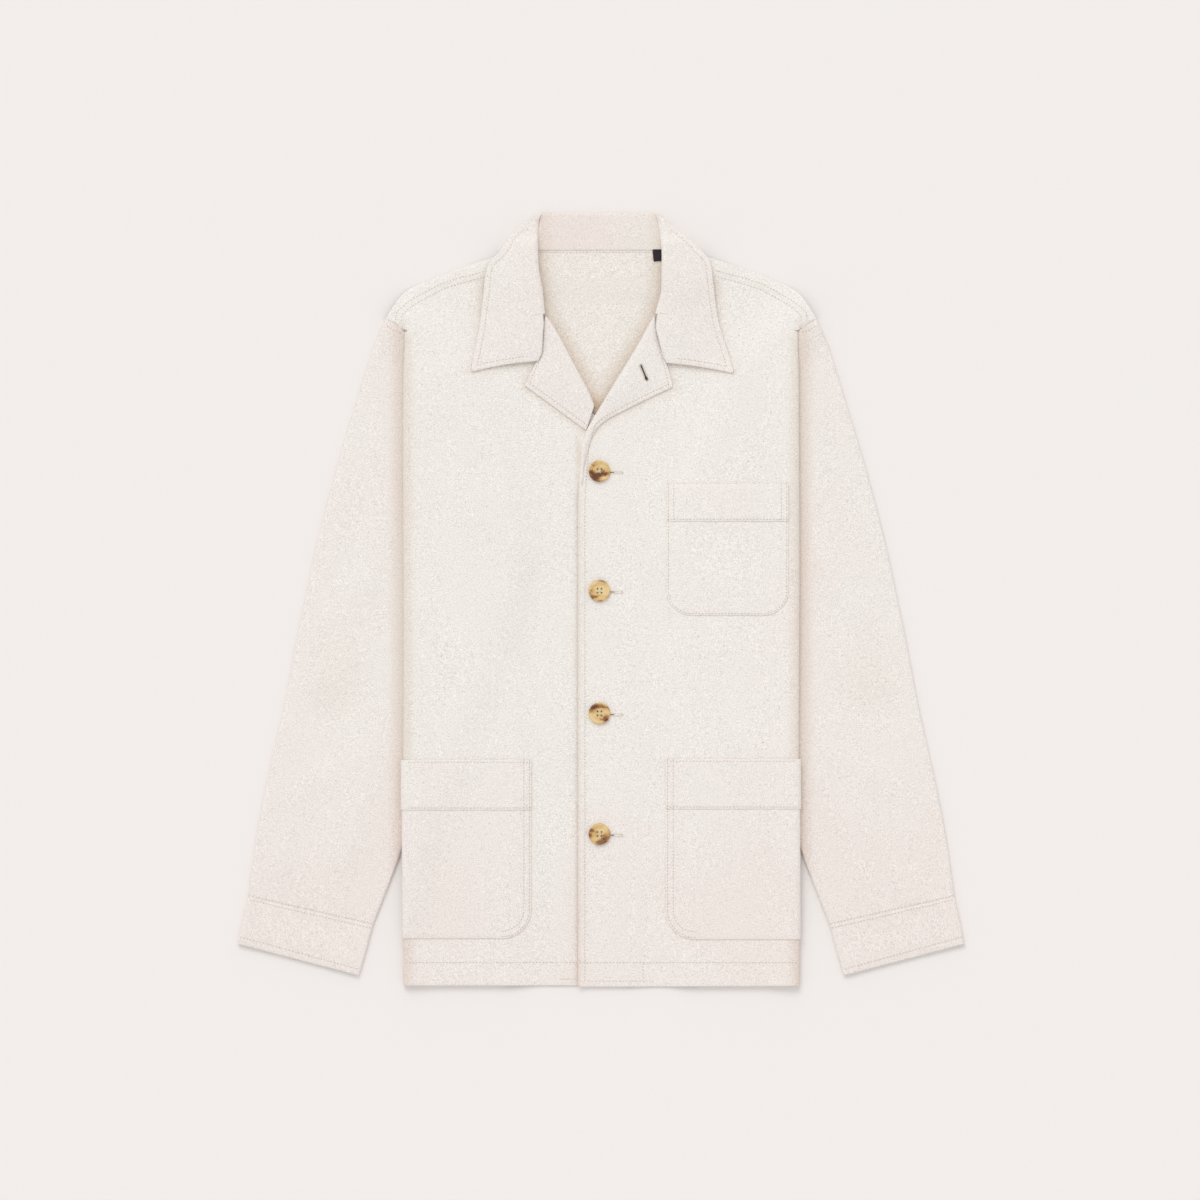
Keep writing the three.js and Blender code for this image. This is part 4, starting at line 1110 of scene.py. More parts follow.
@dataclass
class Collar:
    """Collar in one double layer: band, top fold, falls in front and behind, collar points."""

    material: bpy.types.Material
    stations: int = 72
    wrap_stations: int = 24
    rise_at_shoulder: float = 2.0

    def side(self, rows: Sequence[tuple[float, ...]], end: Sequence[tuple[float, ...]], sign: int) -> Sheet:
        """Half of the collar from the top down to its point.

        Args:
            rows: Roll line and outer edge.
            end: Lower fall, down to the collar point.
            sign: Sign of X.
        Returns:
            Its middle surface.
        """
        half, fold = DOUBLE_WALL / 2, COLLAR_FOLD
        upper = even_rows(rows, self.stations, NO_CORNERS)

        def at(u: Points, v: Points) -> Points:
            """Point of the middle surface.

            Args:
                u: Share along the roll line.
                v: Share across, from the outer edge over the roll to the leg.
            Returns:
                Points in mm.
            """
            row, width, toward = at_stations(upper, u)
            share = np.clip((width - 6) / 24, 0, 1)
            radius = COLLAR_BACK_RADIUS + (COLLAR_ROLL_RADIUS - COLLAR_BACK_RADIUS) * share
            start = np.minimum(radius + half, width * 0.55)
            leg = start + np.minimum(STAND_LENGTH, 0.35 * width)
            top, angle = fold.on_face(v), fold.angle(v)
            distance = np.where(v < fold.face, width + (start - width) * top, start - radius * np.sin(angle))
            distance = np.where(v > fold.leg_from, start + (leg - start) * (v - fold.leg_from) / fold.leg,
                                distance)
            spot = row[:, :2] + toward * distance[:, None]
            x, y = spot[:, 0], spot[:, 1]
            middle = row[:, :2] + toward * start[:, None]
            rise_stand = np.clip((row[:, 1] - 348) / 8, 0, 1)
            laid = collar_floor(row[:, 0], row[:, 1])
            low = laid * (1 - rise_stand) + (DOUBLE_WALL + SEAM_GAP) * rise_stand

            def stand(px: Points, py: Points) -> Points:
                """Height of the stand's middle surface."""
                return half + np.where(row[:, 1] > 336, low, np.maximum(low, collar_floor(px, py)))

            edge = collar_floor(x, y) + half + self.stand_off(y) * (v < fold.face)
            roll = stand(middle[:, 0], middle[:, 1]) + 2 * radius
            rise = np.maximum(0, roll - edge) * np.sin(np.pi / 2 * top) ** 1.6
            soft = 0.45 * np.sin(np.pi * top) * np.clip((width - 20) / 20, 0, 1) * (0.8 + 0.5 * np.sin(u * 9))
            turned = stand(middle[:, 0], middle[:, 1]) + radius + radius * np.cos(angle)
            z = np.where(v < fold.face, edge + rise + soft, np.where(v <= fold.leg_from, turned, stand(x, y)))
            return np.stack([x, y, z], 1)

        fall_stations = 24
        lower = even_rows(end, fall_stations, NO_CORNERS)
        first = rows[-1]
        width_roll = math.hypot(first[2] - first[0], first[3] - first[1])

        def at_end(u: Points, v: Points) -> Points:
            """Point of the lower fall.

            Args:
                u: Share down the fall.
                v: Share inwards from the outer edge.
            Returns:
                Points in mm.
            """
            row = lower[np.rint(u * fall_stations).astype(int)]
            spot = row[:, 3:5] + (row[:, 1:3] - row[:, 3:5]) * v[:, None]
            x, y = spot[:, 0], spot[:, 1] + row[:, 0] * np.sin(np.pi * v)
            inner = 1 - (COLLAR_ROLL_RADIUS + half) / width_roll * np.clip(1 - u * 3, 0, 1)
            reach = np.minimum(v, inner)
            rise = 2 * COLLAR_ROLL_RADIUS * (1 - 0.55 * u) * np.sin(np.pi / 2 * reach) ** 1.6
            soft = 0.4 * np.sin(np.pi * v) * np.sin(np.pi * np.clip(u * 1.2, 0, 1))
            fall = np.stack([x, y, collar_floor(x, y) + half + rise + soft + self.stand_off(y)], 1)
            start = at(np.ones_like(u), v * fold.face)
            blend = smooth(u, 0.3)[:, None]
            return fall * (1 - blend) + start * blend

        steps = 40
        top = ruled(self.stations, steps, at, sign < 0, across=90, along=110)
        fall = ruled(fall_stations, round(steps * fold.face), at_end, sign < 0, across=49.5, along=42)
        fall.flat[:, 1] -= 110
        return welded(merged([top, fall]))

    def stand_off(self, y: Points) -> Points:
        """How far the fall stands off the shoulder, at heights y on the table."""
        return self.rise_at_shoulder * smooth(np.abs(y - 318), 85)

    def wrap(self, rows: Sequence[tuple[float, ...]], sign: int) -> Sheet:
        """Turn over the shoulder's outline, from the fall in front to the fall behind.

        Args:
            rows: Roll line and outer edge.
            sign: Sign of X.
        Returns:
            Its middle surface.
        """
        half = DOUBLE_WALL / 2
        upper = even_rows(rows[:6], self.wrap_stations, NO_CORNERS)

        def at(u: Points, v: Points) -> Points:
            """Point of the middle surface.

            Args:
                u: Share along the shoulder's outline.
                v: Share round the turn, from the front to behind.
            Returns:
                Points in mm.
            """
            row, width, toward = at_stations(upper, u)
            high = collar_floor(row[:, 2], row[:, 3]) + half
            radius = (high - half) / 2
            reach = np.minimum(radius, 0.5 * width)
            start = reach + np.minimum(half, 0.2 * width)
            angle = np.pi * np.clip((v - 0.2) / 0.6, 0, 1)
            ends = np.clip(1 - v / 0.2, 0, 1) + np.clip((v - 0.8) / 0.2, 0, 1)
            inward = 5 * np.clip((width - 3) / 22, 0, 1) * ends
            distance = width - start - inward + reach * np.sin(angle)
            spot = row[:, :2] + toward * distance[:, None]
            return np.stack([spot[:, 0], spot[:, 1], half + radius + radius * np.cos(angle)], 1)

        return ruled(self.wrap_stations, 20, at, sign > 0, across=20, along=40)

    def band(self) -> Sheet:
        """Inner band above the neck seam, the top fold and the fall behind the neck.

        Returns:
            Its middle surface.
        """
        half, fold = DOUBLE_WALL / 2, BAND_FOLD
        start = COLLAR_TOP_Y - COLLAR_BACK_RADIUS - half

        def at(u: Points, v: Points) -> Points:
            """Point of the middle surface.

            Args:
                u: Share across the neck.
                v: Share from the neck seam over the top fold and down behind.
            Returns:
                Points in mm.
            """
            angle = fold.angle(v)
            y = np.where(v < fold.face, NECK_SEAM_Y - 0.1 + (start - NECK_SEAM_Y + 0.1) * v / fold.face,
                         start + COLLAR_BACK_RADIUS * np.sin(angle))
            last = 325 + 4 * (2 * u - 1) ** 2
            y = np.where(v > fold.leg_from, start + (last - start) * (v - fold.leg_from) / fold.leg, y)
            narrow = 1 - smooth(y - 350, 24)
            x = -64 + 5.0 * narrow + (125 - 12.0 * narrow) * u
            z = half + COLLAR_BACK_RADIUS + COLLAR_BACK_RADIUS * np.cos(angle)
            soft = 0.25 * np.sin(np.pi * fold.on_face(v)) * (1 + np.sin(x / 13)) * (v < fold.face)
            return np.stack([x, y, z + soft], 1)

        return ruled(40, 44, at, True, across=125, along=95).with_painted_shade(band_painted_shade)

    def behind(self) -> Sheet:
        """Flat stretch of the fall behind, out to the turns on both sides.

        Returns:
            Its middle surface.
        """

        def inset(rows: Sequence[tuple[float, ...]]) -> list[tuple[float, float]]:
            """Points a little inside the outer edge."""
            widths = [math.hypot(row[2] - row[0], row[3] - row[1]) for row in rows[:5]]
            return [from_roll(row, max(width - 5.5, width * 0.3)) for row, width in zip(rows, widths)]

        outline = [(-50, 371), (48, 371), *inset(COLLAR_LEFT_SIDE[1:]), (92, 325), (0, 324), (-92, 325)]
        outline += list(reversed(inset(COLLAR_RIGHT_SIDE[1:])))

        def lie(flat: Points) -> Points:
            """Lay flat points on the table."""
            return np.column_stack([flat, np.full(len(flat), DOUBLE_WALL / 2)])

        sheet = cut_panel(outline, lie, 8)
        sheet.faces = [tuple(reversed(face)) for face in sheet.faces]
        return sheet

    def build(self) -> bpy.types.Object:
        """Build the collar.

        Returns:
            The collar.
        """
        whole = merged([self.band(), self.behind(),
                        self.side(COLLAR_RIGHT_SIDE, FALL_RIGHT_END, -1), self.wrap(COLLAR_RIGHT_SIDE, -1),
                        self.side(COLLAR_LEFT_SIDE, FALL_LEFT_END, 1), self.wrap(COLLAR_LEFT_SIDE, 1)])
        obj = cloth_object("collar_cloth", whole, DOUBLE_WALL, self.material)
        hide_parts("collar")
        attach(obj, "root")
        return obj


@dataclass
class Pocket:
    """Patch pocket with round lower corners and a band along its top."""

    name: str
    left: float
    right: float
    top: float
    bottom: float
    corner: float
    band: float
    material: bpy.types.Material
    thickness: float = 0.9
    patch_lift: float = 1.3
    band_lift: float = 2.3
    lowered: float = 0.6

    def outline(self, lowered: float = 0.0, inset: float = 0.0) -> list[tuple[float, float]]:
        """Outline of the patch in flat coordinates.

        Args:
            lowered: How far its top lies below the band's.
            inset: How far inside the edge the outline runs.
        Returns:
            Corners, from the upper left down and round to the upper right.
        """
        rim = TURN_X + TURN_LENGTH / 2
        left = -rim if self.left < -TURN_X else self.left + inset
        right = rim if self.right > TURN_X else self.right - inset
        low, radius = self.bottom + inset, self.corner - inset

        def arc(cx: float, start: float) -> list[tuple[float, float]]:
            """Round lower corner."""
            turns = [start + math.pi / 2 * k / 12 for k in range(13)]
            return [(cx + radius * math.cos(a), low + radius + radius * math.sin(a)) for a in turns]

        lower = [(left, low)] if self.left < -TURN_X else arc(left + radius, math.pi)
        lower += [(right, low)] if self.right > TURN_X else arc(right - radius, 1.5 * math.pi)
        return [(left, self.top - lowered), *lower, (right, self.top - lowered)]

    @property
    def floor(self) -> Height:
        """Underside of the front that carries it."""
        return DRAPE.right_front if self.left < 0 else DRAPE.left_front

    def build(self) -> list[bpy.types.Object]:
        """Build the patch and its band.

        Returns:
            The patch and the band.
        """
        edges = self.outline()
        low = self.top - self.band
        upper = [(edges[0][0], self.top), (edges[0][0], low), (edges[-1][0], low), (edges[-1][0], self.top)]
        made = []
        patch = self.outline(self.lowered)
        for suffix, shape, layer, out in (("patch", patch, 1, self.patch_lift),
                                          ("facing", upper, 2, self.band_lift)):
            place = body_layer(self.floor, 0, out)
            sheet = cut_panel(shape, place, GRID, FOLD_COLUMNS)
            obj = cloth_object(f"{self.name}_{suffix}", sheet, self.thickness, self.material)
            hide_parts(self.name if layer == 1 else f"{self.name}_band")
            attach(obj, "root")
            made.append(obj)
        return made


@dataclass
class NeckLabel:
    """Plain dark tab at the neck seam."""

    material: bpy.types.Material
    left: float = 50.6
    right: float = 64.0
    top: float = 341.6
    bottom: float = 330.5

    def build(self) -> bpy.types.Object:
        """Build the tab.

        Returns:
            The tab.
        """
        outline = [(self.left + 1, self.bottom), (self.right, self.bottom + 1), (self.right, self.top),
                   (self.left, self.top)]

        def place(flat: Points) -> Points:
            """Lay the tab on the back."""
            x, y = flat[:, 0], flat[:, 1]
            return np.stack([x, y, DRAPE.back(x, y) + LAYER + 0.5 + 0.25 * np.sin((y - 330) / 4)], 1)

        obj = cloth_object("label_tab", cut_panel(outline, place, 1.5), 1.0, self.material)
        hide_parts("neck_label")
        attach(obj, "root")
        return obj


BUTTON_X = -1.7
BUTTON_ROWS = (125.1, 8.3, -111.5, -229.4)


@dataclass
class Button:
    """Horn button: raised rim, sunk middle and four holes."""

    number: int
    y: float
    horn: bpy.types.Material
    hole_radius: float = 0.9
    hole_spacing: float = 1.9
    segments: int = 64
    profile: tuple[tuple[float, float], ...] = (
        (0.0, 2.1), (4.6, 2.15), (6.2, 2.3), (6.9, 2.65), (7.5, 3.15), (8.3, 3.45), (9.2, 3.5), (10.0, 3.15),
        (10.45, 2.6), (10.5, 2.0), (10.3, 1.4), (9.5, 0.7), (8.2, 0.1), (6.0, 0.0), (0.0, 0.0))

    def build(self) -> bpy.types.Object:
        """Build the button with its holes cut.

        Returns:
            The button.
        """
        seat = float(DRAPE.left_front(np.array([BUTTON_X]), np.array([self.y]))[0]) + WALL + SEAM_GAP
        points = [(BUTTON_X, self.y, seat + self.profile[0][1])]
        for radius, height in self.profile[1:-1]:
            for k in range(self.segments):
                turn = 2 * math.pi * k / self.segments
                x, y = BUTTON_X + radius * math.cos(turn), self.y + radius * math.sin(turn)
                points.append((x, y, seat + height))
        points.append((BUTTON_X, self.y, seat))
        last, n = len(points) - 1, self.segments
        faces = [(0, 1 + k, 1 + (k + 1) % n) for k in range(n)]
        for ring in range(len(self.profile) - 3):
            a, b = 1 + ring * n, 1 + (ring + 1) * n
            faces += [(a + k, b + k, b + (k + 1) % n, a + (k + 1) % n) for k in range(n)]
        base = 1 + (len(self.profile) - 3) * n
        faces += [(last, base + (k + 1) % n, base + k) for k in range(n)]
        flat = np.array(points)[:, :2]
        obj = new_object(f"horn_button_{self.number}", np.array(points), faces, flat, self.horn)
        for across in (-1, 1):
            for up in (-1, 1):
                self.drill(obj, across * self.hole_spacing, up * self.hole_spacing, seat)
        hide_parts(f"button_{self.number}")
        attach(obj, "root")
        return obj

    def drill(self, obj: bpy.types.Object, across: float, up: float, seat: float) -> None:
        """Cut one hole through the button.

        Args:
            obj: The button.
            across: X of the hole from the centre.
            up: Y of the hole from the centre.
            seat: Height of the button's underside.
        """
        n = 20
        rings = [[(BUTTON_X + across + self.hole_radius * math.cos(2 * math.pi * k / n),
                   self.y + up + self.hole_radius * math.sin(2 * math.pi * k / n), seat + z)
                  for k in range(n)] for z in (-2, 6)]
        mesh = bpy.data.meshes.new("drill")
        faces = [(k, (k + 1) % n, n + (k + 1) % n, n + k) for k in range(n)]
        faces += [tuple(reversed(range(n))), tuple(range(n, 2 * n))]
        mesh.from_pydata((np.array(rings[0] + rings[1]) * MM).tolist(), [], faces)
        cutter = bpy.data.objects.new("drill", mesh)
        bpy.context.scene.collection.objects.link(cutter)
        cut = obj.modifiers.new("hole", "BOOLEAN")
        cut.operation, cut.solver, cut.object = "DIFFERENCE", "EXACT", cutter
        result = bpy.data.meshes.new_from_object(obj.evaluated_get(bpy.context.evaluated_depsgraph_get()))
        obj.modifiers.clear()
        obj.data = result
        bpy.data.objects.remove(cutter)


def stitch_tree() -> bpy.types.GeometryNodeTree:
    """Geometry nodes that lay one short thread after another along a mesh's edges.

    Returns:
        The node group.
    """
    tree = bpy.data.node_groups.new("stitches", "GeometryNodeTree")
    tree.is_modifier = True
    face = tree.interface
    face.new_socket("Geometry", in_out="INPUT", socket_type="NodeSocketGeometry")
    for name, value in (("Pitch", 0.0032), ("Length", 0.0024), ("Width", 0.0006), ("Turn", 0.0)):
        face.new_socket(name, in_out="INPUT", socket_type="NodeSocketFloat").default_value = value
    face.new_socket("Thread", in_out="INPUT", socket_type="NodeSocketMaterial")
    face.new_socket("Seed", in_out="INPUT", socket_type="NodeSocketInt").default_value = 7
    face.new_socket("Geometry", in_out="OUTPUT", socket_type="NodeSocketGeometry")
    add, link = tree.nodes.new, tree.links.new
    given, result = add("NodeGroupInput"), add("NodeGroupOutput")
    curve, even = add("GeometryNodeMeshToCurve"), add("GeometryNodeResampleCurve")
    even.mode = "LENGTH"
    points, thread = add("GeometryNodeInstanceOnPoints"), add("GeometryNodeMeshUVSphere")
    thread.inputs["Segments"].default_value = 6
    thread.inputs["Rings"].default_value = 5
    thread.inputs["Radius"].default_value = 0.5
    tangent, heading = add("GeometryNodeInputTangent"), add("FunctionNodeAlignEulerToVector")
    heading.axis = "X"
    waver, turned = add("FunctionNodeRandomValue"), add("ShaderNodeMath")
    waver.data_type = "FLOAT"
    waver.inputs[2].default_value, waver.inputs[3].default_value = -0.12, 0.12
    turned.operation = "ADD"
    spin, angle = add("FunctionNodeRotateEuler"), add("ShaderNodeCombineXYZ")
    spin.rotation_type, spin.space = "EULER", "LOCAL"
    size = add("ShaderNodeCombineXYZ")
    real, paint = add("GeometryNodeRealizeInstances"), add("GeometryNodeSetMaterial")
    link(given.outputs["Geometry"], curve.inputs[0])
    link(curve.outputs[0], even.inputs["Curve"])
    link(given.outputs["Pitch"], even.inputs["Length"])
    link(even.outputs[0], points.inputs["Points"])
    link(thread.outputs["Mesh"], points.inputs["Instance"])
    link(tangent.outputs[0], heading.inputs["Vector"])
    link(given.outputs["Seed"], waver.inputs["Seed"])
    link(given.outputs["Turn"], turned.inputs[0])
    link(waver.outputs[1], turned.inputs[1])
    link(turned.outputs[0], angle.inputs["Z"])
    link(heading.outputs[0], spin.inputs["Rotation"])
    link(angle.outputs[0], spin.inputs["Rotate By"])
    link(spin.outputs[0], points.inputs["Rotation"])
    link(given.outputs["Length"], size.inputs["X"])
    link(given.outputs["Width"], size.inputs["Y"])
    link(given.outputs["Width"], size.inputs["Z"])
    link(size.outputs[0], points.inputs["Scale"])
    link(points.outputs[0], real.inputs[0])
    link(real.outputs[0], paint.inputs["Geometry"])
    link(given.outputs["Thread"], paint.inputs["Material"])
    link(paint.outputs[0], result.inputs[0])
    return tree


Path = list[tuple[float, float]]


def dense(path: Path, step: float = 2.0) -> Points:
    """Points along a path of straight stretches.

    Args:
        path: Its corners.
        step: Distance between the points.
    Returns:
        The points.
    """
    spots = [np.array([path[0]], float)]
    for a, b in zip(path, path[1:]):
        count = max(1, round(math.dist(a, b) / step))
        spots.append(np.linspace(a, b, count + 1)[1:])
    return np.vstack(spots)


def beside(path: Path, distance: float) -> Path:
    """Path at a distance to the left of another one.

    Args:
        path: Its corners.
        distance: Distance in mm, below 0 to the right.
    Returns:
        The moved corners.
    """
    spots = np.array(path, float)
    along = np.diff(spots, axis=0)
    along /= np.linalg.norm(along, axis=1)[:, None]
    side = np.stack([-along[:, 1], along[:, 0]], 1)
    first, last = side[:1], side[-1:]
    before, after = np.vstack([first, side]), np.vstack([side, last])
    middle = before + after
    scale = np.maximum((middle * before).sum(1), 0.5)[:, None]
    return [tuple(p) for p in spots + middle / scale * distance]


def mirrored(path: Path) -> Path:
    """The same path on the other half."""
    return [(-x, y) for x, y in path]


@dataclass
class Surface:
    """The cloth as it lies, to drop threads onto."""

    objects: Sequence[bpy.types.Object]

    def __post_init__(self) -> None:
        """Gather the faces."""
        points: list[tuple[float, float, float]] = []
        faces: list[tuple[int, ...]] = []
        for obj in self.objects:
            start = len(points)
            points += [tuple(v.co) for v in obj.data.vertices]
            faces += [tuple(k + start for k in p.vertices) for p in obj.data.polygons]
        self.tree = BVHTree.FromPolygons(points, faces)

    def height(self, x: float, y: float, below: bool = False) -> float:
        """Height of the cloth at a place, in mm.

        Args:
            x: X in mm.
            y: Y in mm.
            below: Take the underside.
        Returns:
            The height.
        """
        start, way = (-0.05, 1) if below else (0.05, -1)
        hit = self.tree.ray_cast(Vector((x * MM, y * MM, start)), Vector((0, 0, way)))[0]
        return hit.z / MM if hit else 0.0


@dataclass
class Stitching:
    """Rows of stitches of one part of the garment."""

    name: str
    rows: Sequence[Path]
    thread: bpy.types.Material
    surface: Surface
    tree: bpy.types.GeometryNodeTree
    pitch: float = 3.2
    length: float = 2.1
    width: float = 0.5
    turn: float = 0.0
    sink: float = 0.05
    step: float = 2.0
    seed: int = 7

    def build(self) -> bpy.types.Object:
        """Lay the rows on the cloth and sew along them.

        Returns:
            The stitches.
        """
        points: list[tuple[float, float, float]] = []
        edges: list[tuple[int, int]] = []
        for row in self.rows:
            first = len(points)
            for x, y in dense(row, self.step):
                z = self.surface.height(x, y) + self.width / 2 - self.sink
                points.append((x * MM, y * MM, z * MM))
            edges += [(k, k + 1) for k in range(first, len(points) - 1)]
        mesh = bpy.data.meshes.new(self.name)
        mesh.from_pydata(points, edges, [])
        obj = bpy.data.objects.new(self.name, mesh)
        bpy.context.scene.collection.objects.link(obj)
        nodes = obj.modifiers.new("stitches", "NODES")
        nodes.node_group = self.tree
        values = {"Pitch": self.pitch * MM, "Length": self.length * MM, "Width": self.width * MM,
                  "Turn": self.turn, "Thread": self.thread, "Seed": self.seed}
        for item in self.tree.interface.items_tree:
            if item.in_out == "INPUT" and item.name in values:
                nodes[item.identifier] = values[item.name]
        result = bpy.data.meshes.new_from_object(obj.evaluated_get(bpy.context.evaluated_depsgraph_get()))
        obj.modifiers.clear()
        obj.data = result
        result.polygons.foreach_set("use_smooth", [True] * len(result.polygons))
        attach(obj, "root")
        return obj


@dataclass
class Seams:
    """Where the garment is topstitched, and its buttonholes."""

    surface: Surface
    thread: bpy.types.Material
    pale: bpy.types.Material
    # Material of the painted shade in the buttonholes' openings
    dark: bpy.types.Material
    edge: float = 5.0
    hip_rows: tuple[float, ...] = (1.4, 7.0)
    chest_rows: tuple[float, ...] = (1.2,)
    band_row: float = 1.6

    def hem(self) -> list[Path]:
        """Hem of both fronts, with the low rows of the closing edge."""
        low = [(-12, -373), (41, -373), (41, -356)]
        return [[(-190, -355), (-24, -355)], [(-20, -355), (190, -355)], low, [(-39, -371), (-26, -371)]]

    def closing_edge(self) -> list[Path]:
        """Row beside the closing edge, up into the lapel's edge.

        Returns:
            The rows.
        """
        lapel = [from_roll(row, lapel_width(row) + 2 - self.edge) for row in reversed(LAPEL_LEFT[4:9])]
        tip = [from_roll(row, lapel_width(row) + 2 - self.edge) for row in reversed(LAPEL_LEFT[1:5])]
        return [[(-16, -372), (-16, 97), (-14, 125), (-12, 150), *lapel], tip]

    def right_lapel(self) -> list[Path]:
        """Row inside the other lapel's edge."""
        inside = [from_roll(row, lapel_width(row) + 2 - self.edge) for row in LAPEL_RIGHT]
        return [inside]

    def collar(self) -> list[Path]:
        """Rows along the falls' outer edges, the collar points and the lower edges, and the neck seam.

        Returns:
            The rows.
        """
        made = [[(-59, 339), (50, 339)]]
        for rows, end, side in ((COLLAR_RIGHT_SIDE, FALL_RIGHT_END, 1),
                                (COLLAR_LEFT_SIDE, FALL_LEFT_END, -1)):
            outer = [(row[2], row[3]) for row in rows[2:]] + [(row[3], row[4]) for row in end[1:]]
            last = end[-1]
            spots = [(last[3] + (last[1] - last[3]) * k / 6,
                      last[4] + (last[2] - last[4]) * k / 6 + last[0] * math.sin(math.pi * k / 6))
                     for k in range(1, 7)]
            made.append(beside(outer + spots, side * self.edge * 0.85)[:-1])
        return made

    def shoulders(self) -> list[Path]:
        """Two rows above each forward shoulder seam.

        Returns:
            The rows.
        """
        seam = [(row[2], row[3]) for row in SHOULDER[1:]]
        rows = [beside(seam, 1.6), beside(seam, 7.0)[:-1]]
        return rows + [mirrored(row) for row in rows]

    def pocket(self, pocket: Pocket) -> list[Path]:
        """Two rows round a hip pocket and one round the chest pocket, and those of its band.

        Args:
            pocket: The pocket.
        Returns:
            The rows.
        """
        low = pocket.top - pocket.band
        made = []
        left, right = max(pocket.left, -TURN_X), min(pocket.right, TURN_X)
        hip = pocket.left < -TURN_X or pocket.right > TURN_X
        for inset in self.hip_rows if hip else self.chest_rows:
            shape = pocket.outline(0, inset)
            made.append([(x, y) for x, y in shape if abs(x) < TURN_X + 1])
        if not hip:
            made += [[(x, pocket.top - 1.5), (x, low + self.band_row)] for x in (left + 6.5, right - 6.5)]
        heights = [low + self.band_row]
        if hip:
            heights.append(pocket.top - self.band_row)
        return made + [[(left + 1, y), (right - 1, y)] for y in heights]

    def cuffs(self) -> list[Path]:
        """Rows at the cuff seams and the sleeve openings, and at the top of the armholes.

        Returns:
            The rows.
        """
        (ax, ay, bx, by, _), (cx, cy, dx, dy, _) = CUFF_SECTIONS[0], CUFF_SECTIONS[-1]
        seam = [(ax - 3, ay - 2.5), (bx + 3, by - 2.5)]
        above = [(ax - 2, ay + 1.8), (bx + 2, by + 1.8)]
        end = [(cx - 3, cy + 6), (dx + 2, dy + 6)]
        tip = [(208.6, 266.6), (204, 263.4), (197, 260.6)]
        return [path for row in (seam, above, end, tip) for path in (row, mirrored(row))]

    def build(self, pockets: Sequence[Pocket]) -> list[bpy.types.Object]:
        """Sew every seam.

        Args:
            pockets: The patch pockets.
        Returns:
            The rows, grouped by part.
        """
        tree = stitch_tree()
        groups = {"stitches_hem": self.hem(), "stitches_closing_edge": self.closing_edge(),
                  "stitches_right_lapel": self.right_lapel(), "stitches_collar": self.collar(),
                  "stitches_shoulders": self.shoulders(), "stitches_cuffs": self.cuffs()}
        groups |= {f"stitches_{pocket.name}": self.pocket(pocket) for pocket in pockets}
        made = [Stitching(name, rows, self.thread, self.surface, tree, seed=k).build()
                for k, (name, rows) in enumerate(groups.items(), 1)]
        made += self.buttonholes(tree)
        return made

    def buttonholes(self, tree: bpy.types.GeometryNodeTree) -> list[bpy.types.Object]:
        """Bar-stitched buttonholes beside the buttons, and the keyhole in the lapel.

        Args:
            tree: The stitches' nodes.
        Returns:
            Thread, and the slits' painted shade.
        """
        ovals, slits = [], []
        for y in BUTTON_ROWS:
            ovals.append(self.oval((-6.0, y - 0.8), (20.2, y - 1.4), 1.1))
            # Slits of painted shade where the openings show beside the buttons
            slits.append(self.oval((-5.0, y - 0.8), (12.6, y - 1.2), 0.28))
        start, eye = (38.9, 228.4), (44.3, 215.2)
        ovals.append(self.oval(start, eye, 1.7))
        slits.append(self.oval(start, eye, 0.75))
        slits.append(self.oval((43.9, 216.2), (44.6, 214.5), 1.6))
        rows = [[*row, row[0]] for row in ovals]
        thread = Stitching("buttonhole_thread", rows, self.pale, self.surface, tree,
                           pitch=0.7, length=1.5, width=0.5, turn=math.pi / 2, seed=31).build()
        return [thread, self.slit_shade_object(slits)]

    def oval(self, start: tuple[float, float], end: tuple[float, float], half: float) -> Path:
        """Long oval round a line.

        Args:
            start: First end of the line.
            end: Last end of the line.
            half: Half its width.
        Returns:
            Its corners.
        """
        heading = math.atan2(end[1] - start[1], end[0] - start[0])
        made = []
        for centre, first in ((end, heading - math.pi / 2), (start, heading + math.pi / 2)):
            for k in range(7):
                angle = first + math.pi * k / 6
                made.append((centre[0] + half * math.cos(angle), centre[1] + half * math.sin(angle)))
        return made

    def slit_shade_object(self, slits: Sequence[Path]) -> bpy.types.Object:
        """Thin dark sheets of painted shade in the buttonholes' openings.

        Args:
            slits: Their outlines.
        Returns:
            One object.
        """
        points: list[tuple[float, float, float]] = []
        faces: list[tuple[int, ...]] = []
        for slit in slits:
            n, first = len(slit), len(points)
            middle = np.mean(slit, axis=0)
            bulge = self.surface.height(*middle) - np.mean([self.surface.height(x, y) for x, y in slit])
            for lift in (0.14 + max(0.0, bulge) * 1.3, -0.3):
                points += [(x, y, self.surface.height(x, y) + lift) for x, y in slit]
            faces.append(tuple(range(first, first + n)))
            faces.append(tuple(reversed(range(first + n, first + 2 * n))))
            for k in range(n):
                a, b = first + k, first + (k + 1) % n
                faces.append((b, a, a + n, b + n))
        table = np.array(points)
        obj = new_object("buttonhole_slit_shade", table, faces, table[:, :2], self.dark)
        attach(obj, "root")
        return obj


